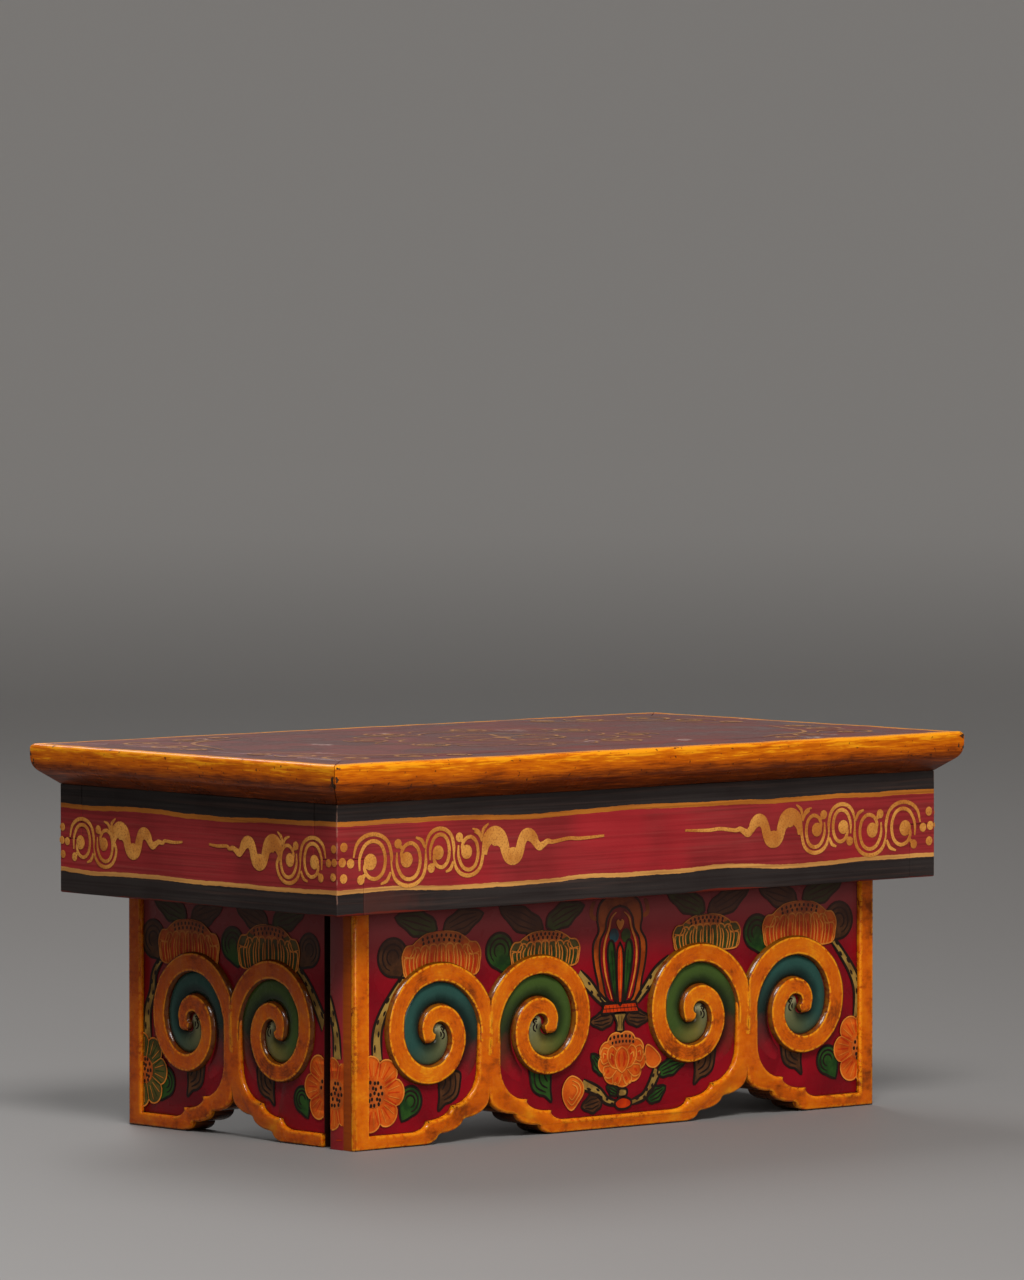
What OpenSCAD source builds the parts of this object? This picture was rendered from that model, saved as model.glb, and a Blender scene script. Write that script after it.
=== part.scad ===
// Small folding altar table: a moulded top on a deep apron box, standing on three
// carved leg panels (front, left, right) that hang on butt hinges and fold inwards.
// Millimetres. Origin: middle of the footprint, on the floor. +Z up, the front is -Y.

/* [Apron] */
// Outer width of the apron box
apron_w = 398; // [360:1:440]
// Outer depth of the apron box
apron_d = 212; // [200:1:250]
// Height of the apron rails
apron_h = 54; // [50:1:66]
// Thickness of the apron rails
rail_t = 17; // [14:0.5:20]
// Clear height from the floor to the apron
leg_h = 116; // [106:1:126]

/* [Top] */
// Thickness of the top
top_t = 20; // [18:1:26]
// Overhang of the moulded edge past the apron
overhang = 11; // [8:0.5:16]
// How far the bevel at the foot of the edge moulding runs out
bevel_run = 7.5; // [5:0.5:7.5]
// How far that bevel rises
bevel_rise = 6; // [4:0.5:6.5]
// Height of the upright nose at the top of the edge moulding
nose_h = 6; // [4:0.5:6.5]
// Radius of the upper arris of the edge moulding
nose_r = 1.5; // [0.5:0.25:3]
// Length of the tongue round the board, in the grooves of the mouldings
tongue_l = 6; // [4:0.5:10]
// Thickness of that tongue
tongue_t = 6; // [4:0.5:8]
// Play of the tongue in its groove, all round
tongue_gap = 0.2; // [0.1:0.05:0.4]

/* [Leg panels] */
// Thickness of the front panel over its carving
front_t = 18.5; // [16:0.5:20]
// Thickness of the side panels over their carving
side_t = 15; // [13:0.5:16]
// Depth of the carved ground below the raised border
relief = 3.5; // [2:0.25:4]
// From the apron's end to the end of the front panel
end_inset = 26; // [24:0.5:34]
// From the apron's end to the outer face of a side panel
side_inset = 27; // [24:0.5:34]
// From the back of the front panel to the side panels' front edges
corner_gap = 8; // [6:0.5:12]
// From the apron's back to the rear edges of the side panels
rear_inset = 20; // [18:0.5:26]
// Running gap between a panel and what it folds away from
panel_gap = 0.3; // [0.2:0.05:0.6]
// Gap between the feet of the two folded side panels, halved
fold_gap = 1.7; // [1:0.1:4]
// Gap between the folded side panels and the folded front panel
stack_gap = 1.5; // [1:0.1:3]

/* [Carving] */
// Width of the raised stiles at the panel ends
stile_w = 9.5; // [7:0.5:12]
// From the middle of the front panel to the axis of each of its arches
arch_x = 86; // [80:1:96]
// Widths of the three lobes of half an arch, from its point to the foot
lobe_run = [17, 16, 10]; // [6:0.5:20]
// Heights of those three lobes
lobe_drop = [9.5, 6.5, 5]; // [3:0.5:12]
// Height of the raised border above the feet
border_h = 6.7; // [5:0.1:9]
// Half the width of the stem above an arch
stem_half = 7.2; // [5:0.1:9]
// From the stem's axis to the eye of a scroll
scroll_reach = 35.5; // [33:0.5:38]
// Height of the eye of a scroll above the floor
scroll_z = 54; // [50:0.5:60]
// Radius at which a scroll's band begins
scroll_start = 4; // [3:0.25:5]
// Width of a scroll's band
band_w = 10.5; // [8:0.25:12]
// Width of the side scrolls and arch against the front ones
side_squeeze = 0.92; // [0.85:0.01:0.95]
// From the middle of a side panel forward to the axis of its arch
side_arch_shift = 6; // [3:0.5:8]

/* [Hinges] */
// Length of a hinge along its pin
leaf_l = 40; // [30:1:50]
// Width of a hinge leaf, from the pin's axis to its edge
leaf_w = 14; // [12:0.5:15]
// Thickness of a hinge leaf
leaf_t = 1.2; // [1:0.1:1.6]
// Outer radius of the knuckles
knuckle_r = 2.5; // [2.2:0.1:3]
// Length of the middle knuckle
knuckle_mid = 16; // [12:0.5:20]
// Play between neighbouring knuckles
knuckle_gap = 0.2; // [0.1:0.05:0.4]
// Room between a leaf's plate and the other leaf's knuckles
plate_gap = 0.4; // [0.3:0.05:0.8]
// Radius of the hinge pins
pin_r = 1.2; // [1:0.05:1.4]
// Radial clearance of the pins in the knuckles
pin_clear = 0.05; // [0.03:0.01:0.08]
// Radius of the peened pin heads
pin_head_r = 2; // [1.6:0.1:2.2]
// Thickness of the peened pin heads
pin_head_t = 0.8; // [0.5:0.1:1.2]
// From a side panel's ends to the middle of its hinges
side_hinge_inset = 29; // [25:0.5:38]
// From the front panel's ends to the middle of its hinges
front_hinge_inset = 63; // [55:0.5:80]

/* [Screws] */
// Radius of the hinge screws
screw_r = 1.4; // [1.2:0.1:1.6]
// Radius of the hinge screws' heads
screw_head_r = 2.6; // [2.2:0.1:3]
// Length of the hinge screws
screw_l = 10; // [8:0.5:10.5]
// Distance between the two screws of a leaf
screw_pitch = 24; // [18:1:28]
// From the pin's axis to the screws of a leaf
screw_row = 9; // [8:0.25:10]
// Radius of the batten screws
batten_screw_r = 2; // [1.6:0.1:2.4]
// Radius of the batten screws' heads
batten_head_r = 4; // [3:0.1:4.6]
// Depth of the batten screws in the top board
batten_bite = 12; // [8:0.5:15]
// From a side batten's ends to its screws
side_screw_inset = 42; // [36:0.5:48]
// From the front batten's ends to its outer screws
front_screw_inset = 109; // [100:0.5:115]
// Radial clearance of a screw in its hole
screw_clear = 0.05; // [0.03:0.01:0.1]
// Width and depth of the slots in the screw heads
slot = 0.7; // [0.5:0.1:0.9]

/* [Hidden] */
$fn = 48;
cut = 1;                 // how far a cutting solid runs past the face it cuts
arc_steps = 5;           // straight pieces in one lobe of an arch
scroll_step = 15;        // degrees between the points of a scroll
scroll_turn = 540;       // a scroll winds one and a half turns and ends on its stem
nose_steps = 6;          // straight pieces in a round of the edge moulding
batten_min = 16;         // least height of a side batten, for its hinge leaves
head_rise = 2;           // height of the batten screws' conical heads
tip_l = 2;               // length of a screw's point
screw_tip_share = 0.2;   // a screw's point is this share of its radius at its end

top_w = apron_w + 2 * overhang;
top_d = apron_d + 2 * overhang;
top_z = leg_h + apron_h;                 // underside of the top
moulding_w = overhang + rail_t;          // a moulding covers the rail below it
board_w = top_w - 2 * moulding_w;
board_d = top_d - 2 * moulding_w;
tongue_z = top_z + (top_t - tongue_t) / 2;

pin_off = knuckle_r + panel_gap;         // from the wood's inner face to a pin's axis
plate_start = knuckle_r + plate_gap;     // a leaf's plate begins this far from the axis
knuckle_end = (leaf_l - knuckle_mid) / 2 - knuckle_gap;

side_in = apron_w / 2 - side_inset - side_t;         // inner face of the right panel
side_pin_x = side_in - pin_off;
side_pin_z = min(top_z - batten_min, side_pin_x - fold_gap);
front_out = -apron_d / 2 + rail_t + panel_gap;       // carved face of the front panel
front_in = front_out + front_t;
front_pin_z = side_pin_z - side_t - stack_gap;
front_w = apron_w - 2 * end_inset;
side_front = front_in + corner_gap;
side_rear = apron_d / 2 - rear_inset;
side_l = side_rear - side_front;
side_mid = (side_rear + side_front) / 2;

scroll_pitch = (scroll_reach - scroll_start) * 360 / scroll_turn;
arch_h = lobe_drop[0] + lobe_drop[1] + lobe_drop[2];

timber_orange = "#c8740f";
timber_black = "#2a2424";
timber_plum = "#5b2a33";
bare_timber = "#8a5a34";
iron = "#6f6a63";

// Half of an arch: three quarter-ellipse lobes from its point (0, arch_h) out to the floor.
function lobe_x(i) = i == 0 ? 0 : lobe_x(i - 1) + lobe_run[i - 1];
function lobe_z(i) = i == 0 ? arch_h : lobe_z(i - 1) - lobe_drop[i - 1];
function half_arch() = [for (i = [0:2], s = [0:arc_steps])
    let (a = 90 * s / arc_steps)
    [lobe_x(i) + lobe_run[i] * (1 - cos(a)), lobe_z(i) - lobe_drop[i] * sin(a)]];
function reversed(pts) = [for (i = [len(pts) - 1:-1:0]) pts[i]];
function placed(pts, x, way, rise) = [for (p = pts) [x + way * p[0], p[1] + rise]];

// Both halves of an arch's edge, from its left foot over the point to its right foot.
function arch_edge(x, squeeze) = concat(
    reversed(placed(half_arch(), x, -squeeze, 0)),
    placed(half_arch(), x, squeeze, 0));

// Upper edge of the raised border over one arch, with the stem that carries the scrolls.
function border_edge(x, squeeze) = concat(
    reversed(placed(half_arch(), x - stem_half * squeeze, -squeeze, border_h)),
    [[x - stem_half * squeeze, scroll_z], [x + stem_half * squeeze, scroll_z]],
    placed(half_arch(), x + stem_half * squeeze, squeeze, border_h));

// A scroll's band winds out of its eye at a steady rate and runs into the stem.
function scroll_radius(turn) = scroll_start + scroll_pitch * turn / 360;
function scroll_point(turn, shift) =
    let (r = scroll_radius(turn) + shift, a = 180 - turn)
    [r * cos(a), r * sin(a)];
function scroll_band() = concat(
    [for (t = [0:scroll_step:scroll_turn]) scroll_point(t, band_w / 2)],
    [for (t = [scroll_turn:-scroll_step:0]) scroll_point(t, -band_w / 2)]);

module scroll_2d() {
    polygon(scroll_band());
    translate([-scroll_start, 0]) circle(band_w / 2);
}

module scroll_pair_2d(x, squeeze) {
    for (way = [-1, 1])
        translate([x + way * scroll_reach * squeeze, scroll_z])
            scale([-way * squeeze, 1]) scroll_2d();
}

// Outline of a panel with its arches, in the panel's own plane.
module panel_outline(l, h, arches, squeeze) {
    polygon(concat(
        [[-l / 2, h], [-l / 2, 0]],
        [for (x = arches) each arch_edge(x, squeeze)],
        [[l / 2, 0], [l / 2, h]]));
}

// The lowered ground: the field between the stiles, less border, stems and scrolls.
module panel_ground(l, h, arches, squeeze, left_stile, right_stile) {
    x0 = -l / 2 + (left_stile ? stile_w : -cut);
    x1 = l / 2 - (right_stile ? stile_w : -cut);
    difference() {
        translate([x0, 0]) square([x1 - x0, h + cut]);
        polygon(concat(
            [[x0 - cut, -cut], [x0 - cut, border_h]],
            [for (x = arches) each border_edge(x, squeeze)],
            [[x1 + cut, border_h], [x1 + cut, -cut]]));
        for (x = arches) scroll_pair_2d(x, squeeze);
    }
}

// A carved panel standing in the XZ plane: carved face at y = 0, inner face at y = t.
module carved_panel(l, h, t, arches, squeeze, left_stile, right_stile) {
    difference() {
        translate([0, t, 0]) rotate([90, 0, 0]) linear_extrude(t)
            panel_outline(l, h, arches, squeeze);
        translate([0, relief, 0]) rotate([90, 0, 0]) linear_extrude(relief + cut)
            panel_ground(l, h, arches, squeeze, left_stile, right_stile);
    }
}

// A slotted wood screw with its head's face at z = 0, pointing down.
module screw(r, head_r, head_h, l) {
    difference() {
        rotate_extrude() polygon([[0, 0], [head_r, 0], [r, -head_h], [r, tip_l - l],
            [r * screw_tip_share, -l], [0, -l]]);
        translate([-head_r, -slot / 2, -slot]) cube([2 * head_r, slot, slot + cut]);
    }
}

module screw_hole(r, head_r, head_h, l) {
    c = screw_clear;
    translate([0, 0, -head_h]) cylinder(r1 = r + c, r2 = head_r + c, h = head_h);
    translate([0, 0, -l - c]) cylinder(r = r + c, h = l + c);
    translate([0, 0, -c]) cylinder(r = head_r + c, h = cut);
}

// One hinge lies in its own frame: pin along X at [0, pin_off, 0], wood's face at y = 0,
// the room inside the table towards +Y, the fixed leaf above the pin, the panel's below.
module along_pin(x, l, r) {
    translate([x, pin_off, 0]) rotate([0, 90, 0]) cylinder(r = r, h = l);
}

module leaf_screws_at() {
    for (x = [-screw_pitch / 2, screw_pitch / 2])
        translate([x, leaf_t, screw_row]) rotate([-90, 0, 0]) children();
}

module fixed_leaf() {
    color(iron) difference() {
        union() {
            translate([-leaf_l / 2, 0, plate_start])
                cube([leaf_l, leaf_t, leaf_w - plate_start]);
            for (x = [-leaf_l / 2, leaf_l / 2 - knuckle_end]) {
                translate([x, 0, 0]) cube([knuckle_end, leaf_t, plate_start]);
                along_pin(x, knuckle_end, knuckle_r);
            }
        }
        along_pin(-leaf_l / 2 - cut, leaf_l + 2 * cut, pin_r + pin_clear);
        leaf_screws_at() screw_hole(screw_r, screw_head_r, leaf_t, screw_l);
    }
}

module panel_leaf() {
    color(iron) mirror([0, 0, 1]) difference() {
        union() {
            translate([-leaf_l / 2, 0, plate_start])
                cube([leaf_l, leaf_t, leaf_w - plate_start]);
            translate([-knuckle_mid / 2, 0, 0]) cube([knuckle_mid, leaf_t, plate_start]);
            along_pin(-knuckle_mid / 2, knuckle_mid, knuckle_r);
        }
        along_pin(-leaf_l / 2 - cut, leaf_l + 2 * cut, pin_r + pin_clear);
        leaf_screws_at() screw_hole(screw_r, screw_head_r, leaf_t, screw_l);
    }
}

module hinge_pin() {
    color(iron) {
        along_pin(-leaf_l / 2, leaf_l, pin_r);
        for (x = [-leaf_l / 2 - pin_head_t, leaf_l / 2])
            along_pin(x, pin_head_t, pin_head_r);
    }
}

// Places of the hinges, by panel; k is -1 or 1 for the two hinges of a panel.
module front_hinge_at(k) {
    translate([k * (front_w / 2 - front_hinge_inset), front_in, front_pin_z]) children();
}

module left_hinge_at(k) {
    translate([-side_in, side_mid + k * (side_l / 2 - side_hinge_inset), side_pin_z])
        rotate(-90) children();
}

module right_hinge_at(k) {
    translate([side_in, side_mid + k * (side_l / 2 - side_hinge_inset), side_pin_z])
        rotate(90) children();
}

module leaf_screw_pair() {
    color(iron) leaf_screws_at() screw(screw_r, screw_head_r, leaf_t, screw_l);
}

module leaf_hole_pair() {
    leaf_screws_at() screw_hole(screw_r, screw_head_r, leaf_t, screw_l);
}

// Screws up through the battens into the board.
module side_batten_screws_at(way) {
    x = way * (apron_w / 2 - (rail_t + side_inset) / 2);
    for (k = [-1, 1])
        translate([x, side_mid + k * (side_l / 2 - side_screw_inset), side_pin_z + panel_gap / 2])
            rotate([180, 0, 0]) children();
}

module front_batten_screws_at() {
    for (k = [-1:1])
        translate([k * (front_w / 2 - front_screw_inset), (front_in + front_out) / 2,
            front_pin_z + panel_gap / 2])
            rotate([180, 0, 0]) children();
}

side_batten_screw_l = top_z - side_pin_z - panel_gap / 2 + batten_bite;
front_batten_screw_l = top_z - front_pin_z - panel_gap / 2 + batten_bite;

module batten_holes() {
    for (way = [-1, 1])
        side_batten_screws_at(way)
            screw_hole(batten_screw_r, batten_head_r, head_rise, side_batten_screw_l);
    front_batten_screws_at()
        screw_hole(batten_screw_r, batten_head_r, head_rise, front_batten_screw_l);
}

// The board of the top, with a tongue on all four edges.
module top_board() {
    color(timber_plum) difference() {
        union() {
            translate([-board_w / 2, -board_d / 2, top_z]) cube([board_w, board_d, top_t]);
            translate([-board_w / 2 - tongue_l, -board_d / 2 - tongue_l, tongue_z])
                cube([board_w + 2 * tongue_l, board_d + 2 * tongue_l, tongue_t]);
        }
        batten_holes();
    }
}

// Section of the edge moulding: x outwards from the apron's face, y up from its underside.
// A bevel rises from the apron, rounds into an upright nose and ends in a soft arris.
function bend(from, via, to, t) =
    (1 - t) * (1 - t) * from + 2 * t * (1 - t) * via + t * t * to;
function moulding_section() =
    let (groove_y = (top_t - tongue_t) / 2 - tongue_gap,
        groove_x = -rail_t + tongue_l + tongue_gap,
        groove_h = tongue_t + 2 * tongue_gap,
        bevel_top = [bevel_run, bevel_rise],
        corner = [overhang, bevel_rise * overhang / bevel_run],
        nose_foot = [overhang, top_t - nose_h])
    concat(
        [[-rail_t, 0], [0, 0]],
        [for (s = [0:nose_steps]) bend(bevel_top, corner, nose_foot, s / nose_steps)],
        [for (s = [0:nose_steps])
            let (a = 90 * s / nose_steps)
            [overhang - nose_r * (1 - cos(a)), top_t - nose_r * (1 - sin(a))]],
        [[-rail_t, top_t], [-rail_t, groove_y + groove_h], [groove_x, groove_y + groove_h],
         [groove_x, groove_y], [-rail_t, groove_y]]);

// One mitred length of the moulding, run along X at the front of a box of size w by d.
module moulding(w, d) {
    color(timber_orange) translate([0, -d / 2, top_z]) intersection() {
        rotate([90, 0, -90]) translate([0, 0, -w / 2 - overhang])
            linear_extrude(w + 2 * overhang) polygon(moulding_section());
        translate([0, 0, -cut]) linear_extrude(top_t + 2 * cut)
            polygon([[-w / 2 - overhang, -overhang], [w / 2 + overhang, -overhang],
                [w / 2 - rail_t, rail_t], [rail_t - w / 2, rail_t]]);
    }
}

module moulding_front() { moulding(apron_w, apron_d); }
module moulding_back() { rotate(180) moulding(apron_w, apron_d); }
module moulding_left() { rotate(-90) moulding(apron_d, apron_w); }
module moulding_right() { rotate(90) moulding(apron_d, apron_w); }

// Apron rails, halved into each other at the corners: the long rails run through above,
// the short rails below.
module long_rail(y) {
    color(timber_black) {
        translate([-apron_w / 2, y, leg_h + apron_h / 2]) cube([apron_w, rail_t, apron_h / 2]);
        translate([rail_t - apron_w / 2, y, leg_h]) cube([apron_w - 2 * rail_t, rail_t, apron_h / 2]);
    }
}

module short_rail(x) {
    color(timber_black) {
        translate([x, -apron_d / 2, leg_h]) cube([rail_t, apron_d, apron_h / 2]);
        translate([x, rail_t - apron_d / 2, leg_h + apron_h / 2])
            cube([rail_t, apron_d - 2 * rail_t, apron_h / 2]);
    }
}

module rail_front() { long_rail(-apron_d / 2); }
module rail_back() { long_rail(apron_d / 2 - rail_t); }
module rail_left() { short_rail(-apron_w / 2); }
module rail_right() { short_rail(apron_w / 2 - rail_t); }

// Battens under the board carry the panels: each is flush with its panel's inner face.
module batten_front() {
    z = front_pin_z + panel_gap / 2;
    color(bare_timber) difference() {
        translate([-front_w / 2, front_out - panel_gap, z])
            cube([front_w, front_t + panel_gap, top_z - z]);
        batten_holes();
        for (k = [-1, 1]) front_hinge_at(k) leaf_hole_pair();
    }
}

module batten_left() {
    z = side_pin_z + panel_gap / 2;
    color(bare_timber) difference() {
        translate([rail_t - apron_w / 2, side_front, z])
            cube([apron_w / 2 - rail_t - side_in, side_l, top_z - z]);
        batten_holes();
        for (k = [-1, 1]) left_hinge_at(k) leaf_hole_pair();
    }
}

module batten_right() {
    z = side_pin_z + panel_gap / 2;
    color(bare_timber) difference() {
        translate([side_in, side_front, z])
            cube([apron_w / 2 - rail_t - side_in, side_l, top_z - z]);
        batten_holes();
        for (k = [-1, 1]) right_hinge_at(k) leaf_hole_pair();
    }
}

// The three carved panels. Their screw holes lie below the pins.
module panel_front() {
    color(timber_orange) difference() {
        translate([0, front_out, 0])
            carved_panel(front_w, front_pin_z - panel_gap / 2, front_t, [-arch_x, arch_x], 1, true, true);
        for (k = [-1, 1]) front_hinge_at(k) mirror([0, 0, 1]) leaf_hole_pair();
    }
}

module panel_left() {
    color(timber_orange) difference() {
        translate([-side_in - side_t, side_mid, 0]) rotate(-90)
            carved_panel(side_l, side_pin_z - panel_gap / 2, side_t, [side_arch_shift],
                side_squeeze, true, false);
        for (k = [-1, 1]) left_hinge_at(k) mirror([0, 0, 1]) leaf_hole_pair();
    }
}

module panel_right() {
    color(timber_orange) difference() {
        translate([side_in + side_t, side_mid, 0]) rotate(90)
            carved_panel(side_l, side_pin_z - panel_gap / 2, side_t, [-side_arch_shift],
                side_squeeze, false, true);
        for (k = [-1, 1]) right_hinge_at(k) mirror([0, 0, 1]) leaf_hole_pair();
    }
}

module front_fixed_leaf_a() { front_hinge_at(-1) fixed_leaf(); }
module front_fixed_leaf_b() { front_hinge_at(1) fixed_leaf(); }
module front_panel_leaf_a() { front_hinge_at(-1) panel_leaf(); }
module front_panel_leaf_b() { front_hinge_at(1) panel_leaf(); }
module front_pin_a() { front_hinge_at(-1) hinge_pin(); }
module front_pin_b() { front_hinge_at(1) hinge_pin(); }
module left_fixed_leaf_a() { left_hinge_at(-1) fixed_leaf(); }
module left_fixed_leaf_b() { left_hinge_at(1) fixed_leaf(); }
module left_panel_leaf_a() { left_hinge_at(-1) panel_leaf(); }
module left_panel_leaf_b() { left_hinge_at(1) panel_leaf(); }
module left_pin_a() { left_hinge_at(-1) hinge_pin(); }
module left_pin_b() { left_hinge_at(1) hinge_pin(); }
module right_fixed_leaf_a() { right_hinge_at(-1) fixed_leaf(); }
module right_fixed_leaf_b() { right_hinge_at(1) fixed_leaf(); }
module right_panel_leaf_a() { right_hinge_at(-1) panel_leaf(); }
module right_panel_leaf_b() { right_hinge_at(1) panel_leaf(); }
module right_pin_a() { right_hinge_at(-1) hinge_pin(); }
module right_pin_b() { right_hinge_at(1) hinge_pin(); }

// Like screws share a node, by the body that they turn with.
module batten_screws() {
    color(iron) {
        for (way = [-1, 1])
            side_batten_screws_at(way)
                screw(batten_screw_r, batten_head_r, head_rise, side_batten_screw_l);
        front_batten_screws_at()
            screw(batten_screw_r, batten_head_r, head_rise, front_batten_screw_l);
    }
}

module fixed_leaf_screws() {
    for (k = [-1, 1]) {
        front_hinge_at(k) leaf_screw_pair();
        left_hinge_at(k) leaf_screw_pair();
        right_hinge_at(k) leaf_screw_pair();
    }
}

module front_leaf_screws() { for (k = [-1, 1]) front_hinge_at(k) mirror([0, 0, 1]) leaf_screw_pair(); }
module left_leaf_screws() { for (k = [-1, 1]) left_hinge_at(k) mirror([0, 0, 1]) leaf_screw_pair(); }
module right_leaf_screws() { for (k = [-1, 1]) right_hinge_at(k) mirror([0, 0, 1]) leaf_screw_pair(); }

top_board();
moulding_front();
moulding_back();
moulding_left();
moulding_right();
rail_front();
rail_back();
rail_left();
rail_right();
batten_front();
batten_left();
batten_right();
panel_front();
panel_left();
panel_right();
front_fixed_leaf_a();
front_fixed_leaf_b();
front_panel_leaf_a();
front_panel_leaf_b();
front_pin_a();
front_pin_b();
left_fixed_leaf_a();
left_fixed_leaf_b();
left_panel_leaf_a();
left_panel_leaf_b();
left_pin_a();
left_pin_b();
right_fixed_leaf_a();
right_fixed_leaf_b();
right_panel_leaf_a();
right_panel_leaf_b();
right_pin_a();
right_pin_b();
batten_screws();
fixed_leaf_screws();
front_leaf_screws();
left_leaf_screws();
right_leaf_screws();
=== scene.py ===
# A small folding altar table: a moulded top on a banded apron, standing on three carved panels.
import math

import bpy
from mathutils import Matrix, Vector


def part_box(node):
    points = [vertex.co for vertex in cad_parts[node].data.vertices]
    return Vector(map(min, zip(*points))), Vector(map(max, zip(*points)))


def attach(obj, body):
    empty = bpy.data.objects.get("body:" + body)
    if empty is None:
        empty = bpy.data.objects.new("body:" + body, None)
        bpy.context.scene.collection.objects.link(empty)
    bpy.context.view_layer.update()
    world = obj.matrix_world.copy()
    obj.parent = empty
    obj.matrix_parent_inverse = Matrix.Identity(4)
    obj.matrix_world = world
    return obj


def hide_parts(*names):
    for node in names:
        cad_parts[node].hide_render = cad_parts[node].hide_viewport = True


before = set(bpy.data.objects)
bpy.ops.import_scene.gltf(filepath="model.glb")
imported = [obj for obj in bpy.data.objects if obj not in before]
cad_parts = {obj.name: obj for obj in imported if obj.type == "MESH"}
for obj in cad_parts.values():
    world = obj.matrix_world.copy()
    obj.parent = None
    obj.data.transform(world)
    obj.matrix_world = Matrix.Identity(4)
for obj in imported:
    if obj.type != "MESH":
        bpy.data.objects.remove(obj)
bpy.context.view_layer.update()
MM = 0.001

# Apron rails
# Four planed softwood rails make the deep box under the top, halved into each other at the
# corners and glued. They are painted black, with a red band between two gold lines.
rail_low, rail_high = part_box("rail_front")
rail_t = rail_high.y - rail_low.y
apron_x = rail_high.x
apron_y = -rail_low.y
rail_slice = 11 * MM
rail_arris = 0.7 * MM


def mode(name):
    bpy.ops.object.mode_set(mode=name)


def select_only(piece):
    bpy.ops.object.select_all(action="DESELECT")
    piece.select_set(True)
    bpy.context.view_layer.objects.active = piece


def named(piece, name):
    piece.name = name
    piece.data.name = name
    return piece


def begin(name, add, **how):
    """Adds one primitive with nothing else selected."""
    bpy.ops.object.select_all(action="DESELECT")
    add(**how)
    return named(bpy.context.object, name)


def settle():
    """Puts the place, turn and size of the active piece into its mesh."""
    bpy.ops.object.transform_apply(location=True, rotation=True, scale=True)


def pick(piece, kind, rule):
    """Goes into edit mode with only the faces or edges selected that the rule accepts."""
    mode("EDIT")
    bpy.ops.mesh.select_mode(type=kind)
    bpy.ops.mesh.select_all(action="DESELECT")
    mode("OBJECT")
    for part in piece.data.polygons if kind == "FACE" else piece.data.edges:
        part.select = rule(part)
    mode("EDIT")


def unit(axis):
    return Vector([float(i == axis) for i in range(3)])


def bisect_all(at, normal, **how):
    """Cuts the whole mesh that is being edited along a plane."""
    bpy.ops.mesh.select_all(action="SELECT")
    bpy.ops.mesh.bisect(plane_co=at, plane_no=normal, **how)


def slice_along(axis, low, high, step):
    """Cuts a piece across at even steps, so that it can be made uneven."""
    mode("EDIT")
    count = int((high - low) / step)
    for i in range(1, count):
        bisect_all(unit(axis) * (low + (high - low) * i / count), unit(axis))
    mode("OBJECT")


def modify(piece, kind, **settings):
    modifier = piece.modifiers.new(kind.lower(), kind)
    for key, value in settings.items():
        setattr(modifier, key, value)
    bpy.ops.object.modifier_apply(modifier=modifier.name)


def soften(piece, width):
    modify(piece, "BEVEL", width=width, segments=2, limit_method="ANGLE", angle_limit=math.radians(40))


def make_uneven(piece, strength, size):
    """Hand-planed and hand-carved wood is never quite flat."""
    lumps = bpy.data.textures.new(piece.name + "_lumps", "CLOUDS")
    lumps.noise_scale = size
    modify(piece, "DISPLACE", texture=lumps, texture_coords="LOCAL", strength=strength)


def smooth(angle=35):
    bpy.ops.object.shade_smooth_by_angle(angle=math.radians(angle))


def halved_rail(name, node, axis, whole_above):
    """A rail whose upper or lower half runs through to the corners."""
    low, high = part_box(node)
    size = high - low
    way = 1 if whole_above else -1
    centre = (low + high) / 2 + Vector((0, 0, way * size.z / 4))
    piece = begin(name, bpy.ops.mesh.primitive_cube_add, size=1, location=centre,
                  scale=(size.x, size.y, size.z / 2))
    settle()
    mode("EDIT")
    for end in (low[axis] + rail_t, high[axis] - rail_t):
        bisect_all(unit(axis) * end, unit(axis))
    mode("OBJECT")
    inner = size[axis] / 2 - rail_t
    pick(piece, "FACE", lambda face: face.normal.z * way < -0.9 and abs(face.center[axis]) < inner)
    bpy.ops.mesh.extrude_region_move(TRANSFORM_OT_translate={"value": (0, 0, -way * size.z / 2)})
    mode("OBJECT")
    slice_along(axis, low[axis], high[axis], rail_slice)
    soften(piece, rail_arris)
    make_uneven(piece, 0.3 * MM, 40 * MM)
    smooth()
    modify(piece, "WEIGHTED_NORMAL", keep_sharp=True)
    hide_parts(node)
    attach(piece, "table")
    return piece


def srgb(red, green, blue):
    """A colour as it is seen, made linear for a shader."""
    parts = [c / 255 for c in (red, green, blue)]
    linear = [c / 12.92 if c <= 0.04045 else ((c + 0.055) / 1.055) ** 2.4 for c in parts]
    return (*linear, 1)


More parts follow.
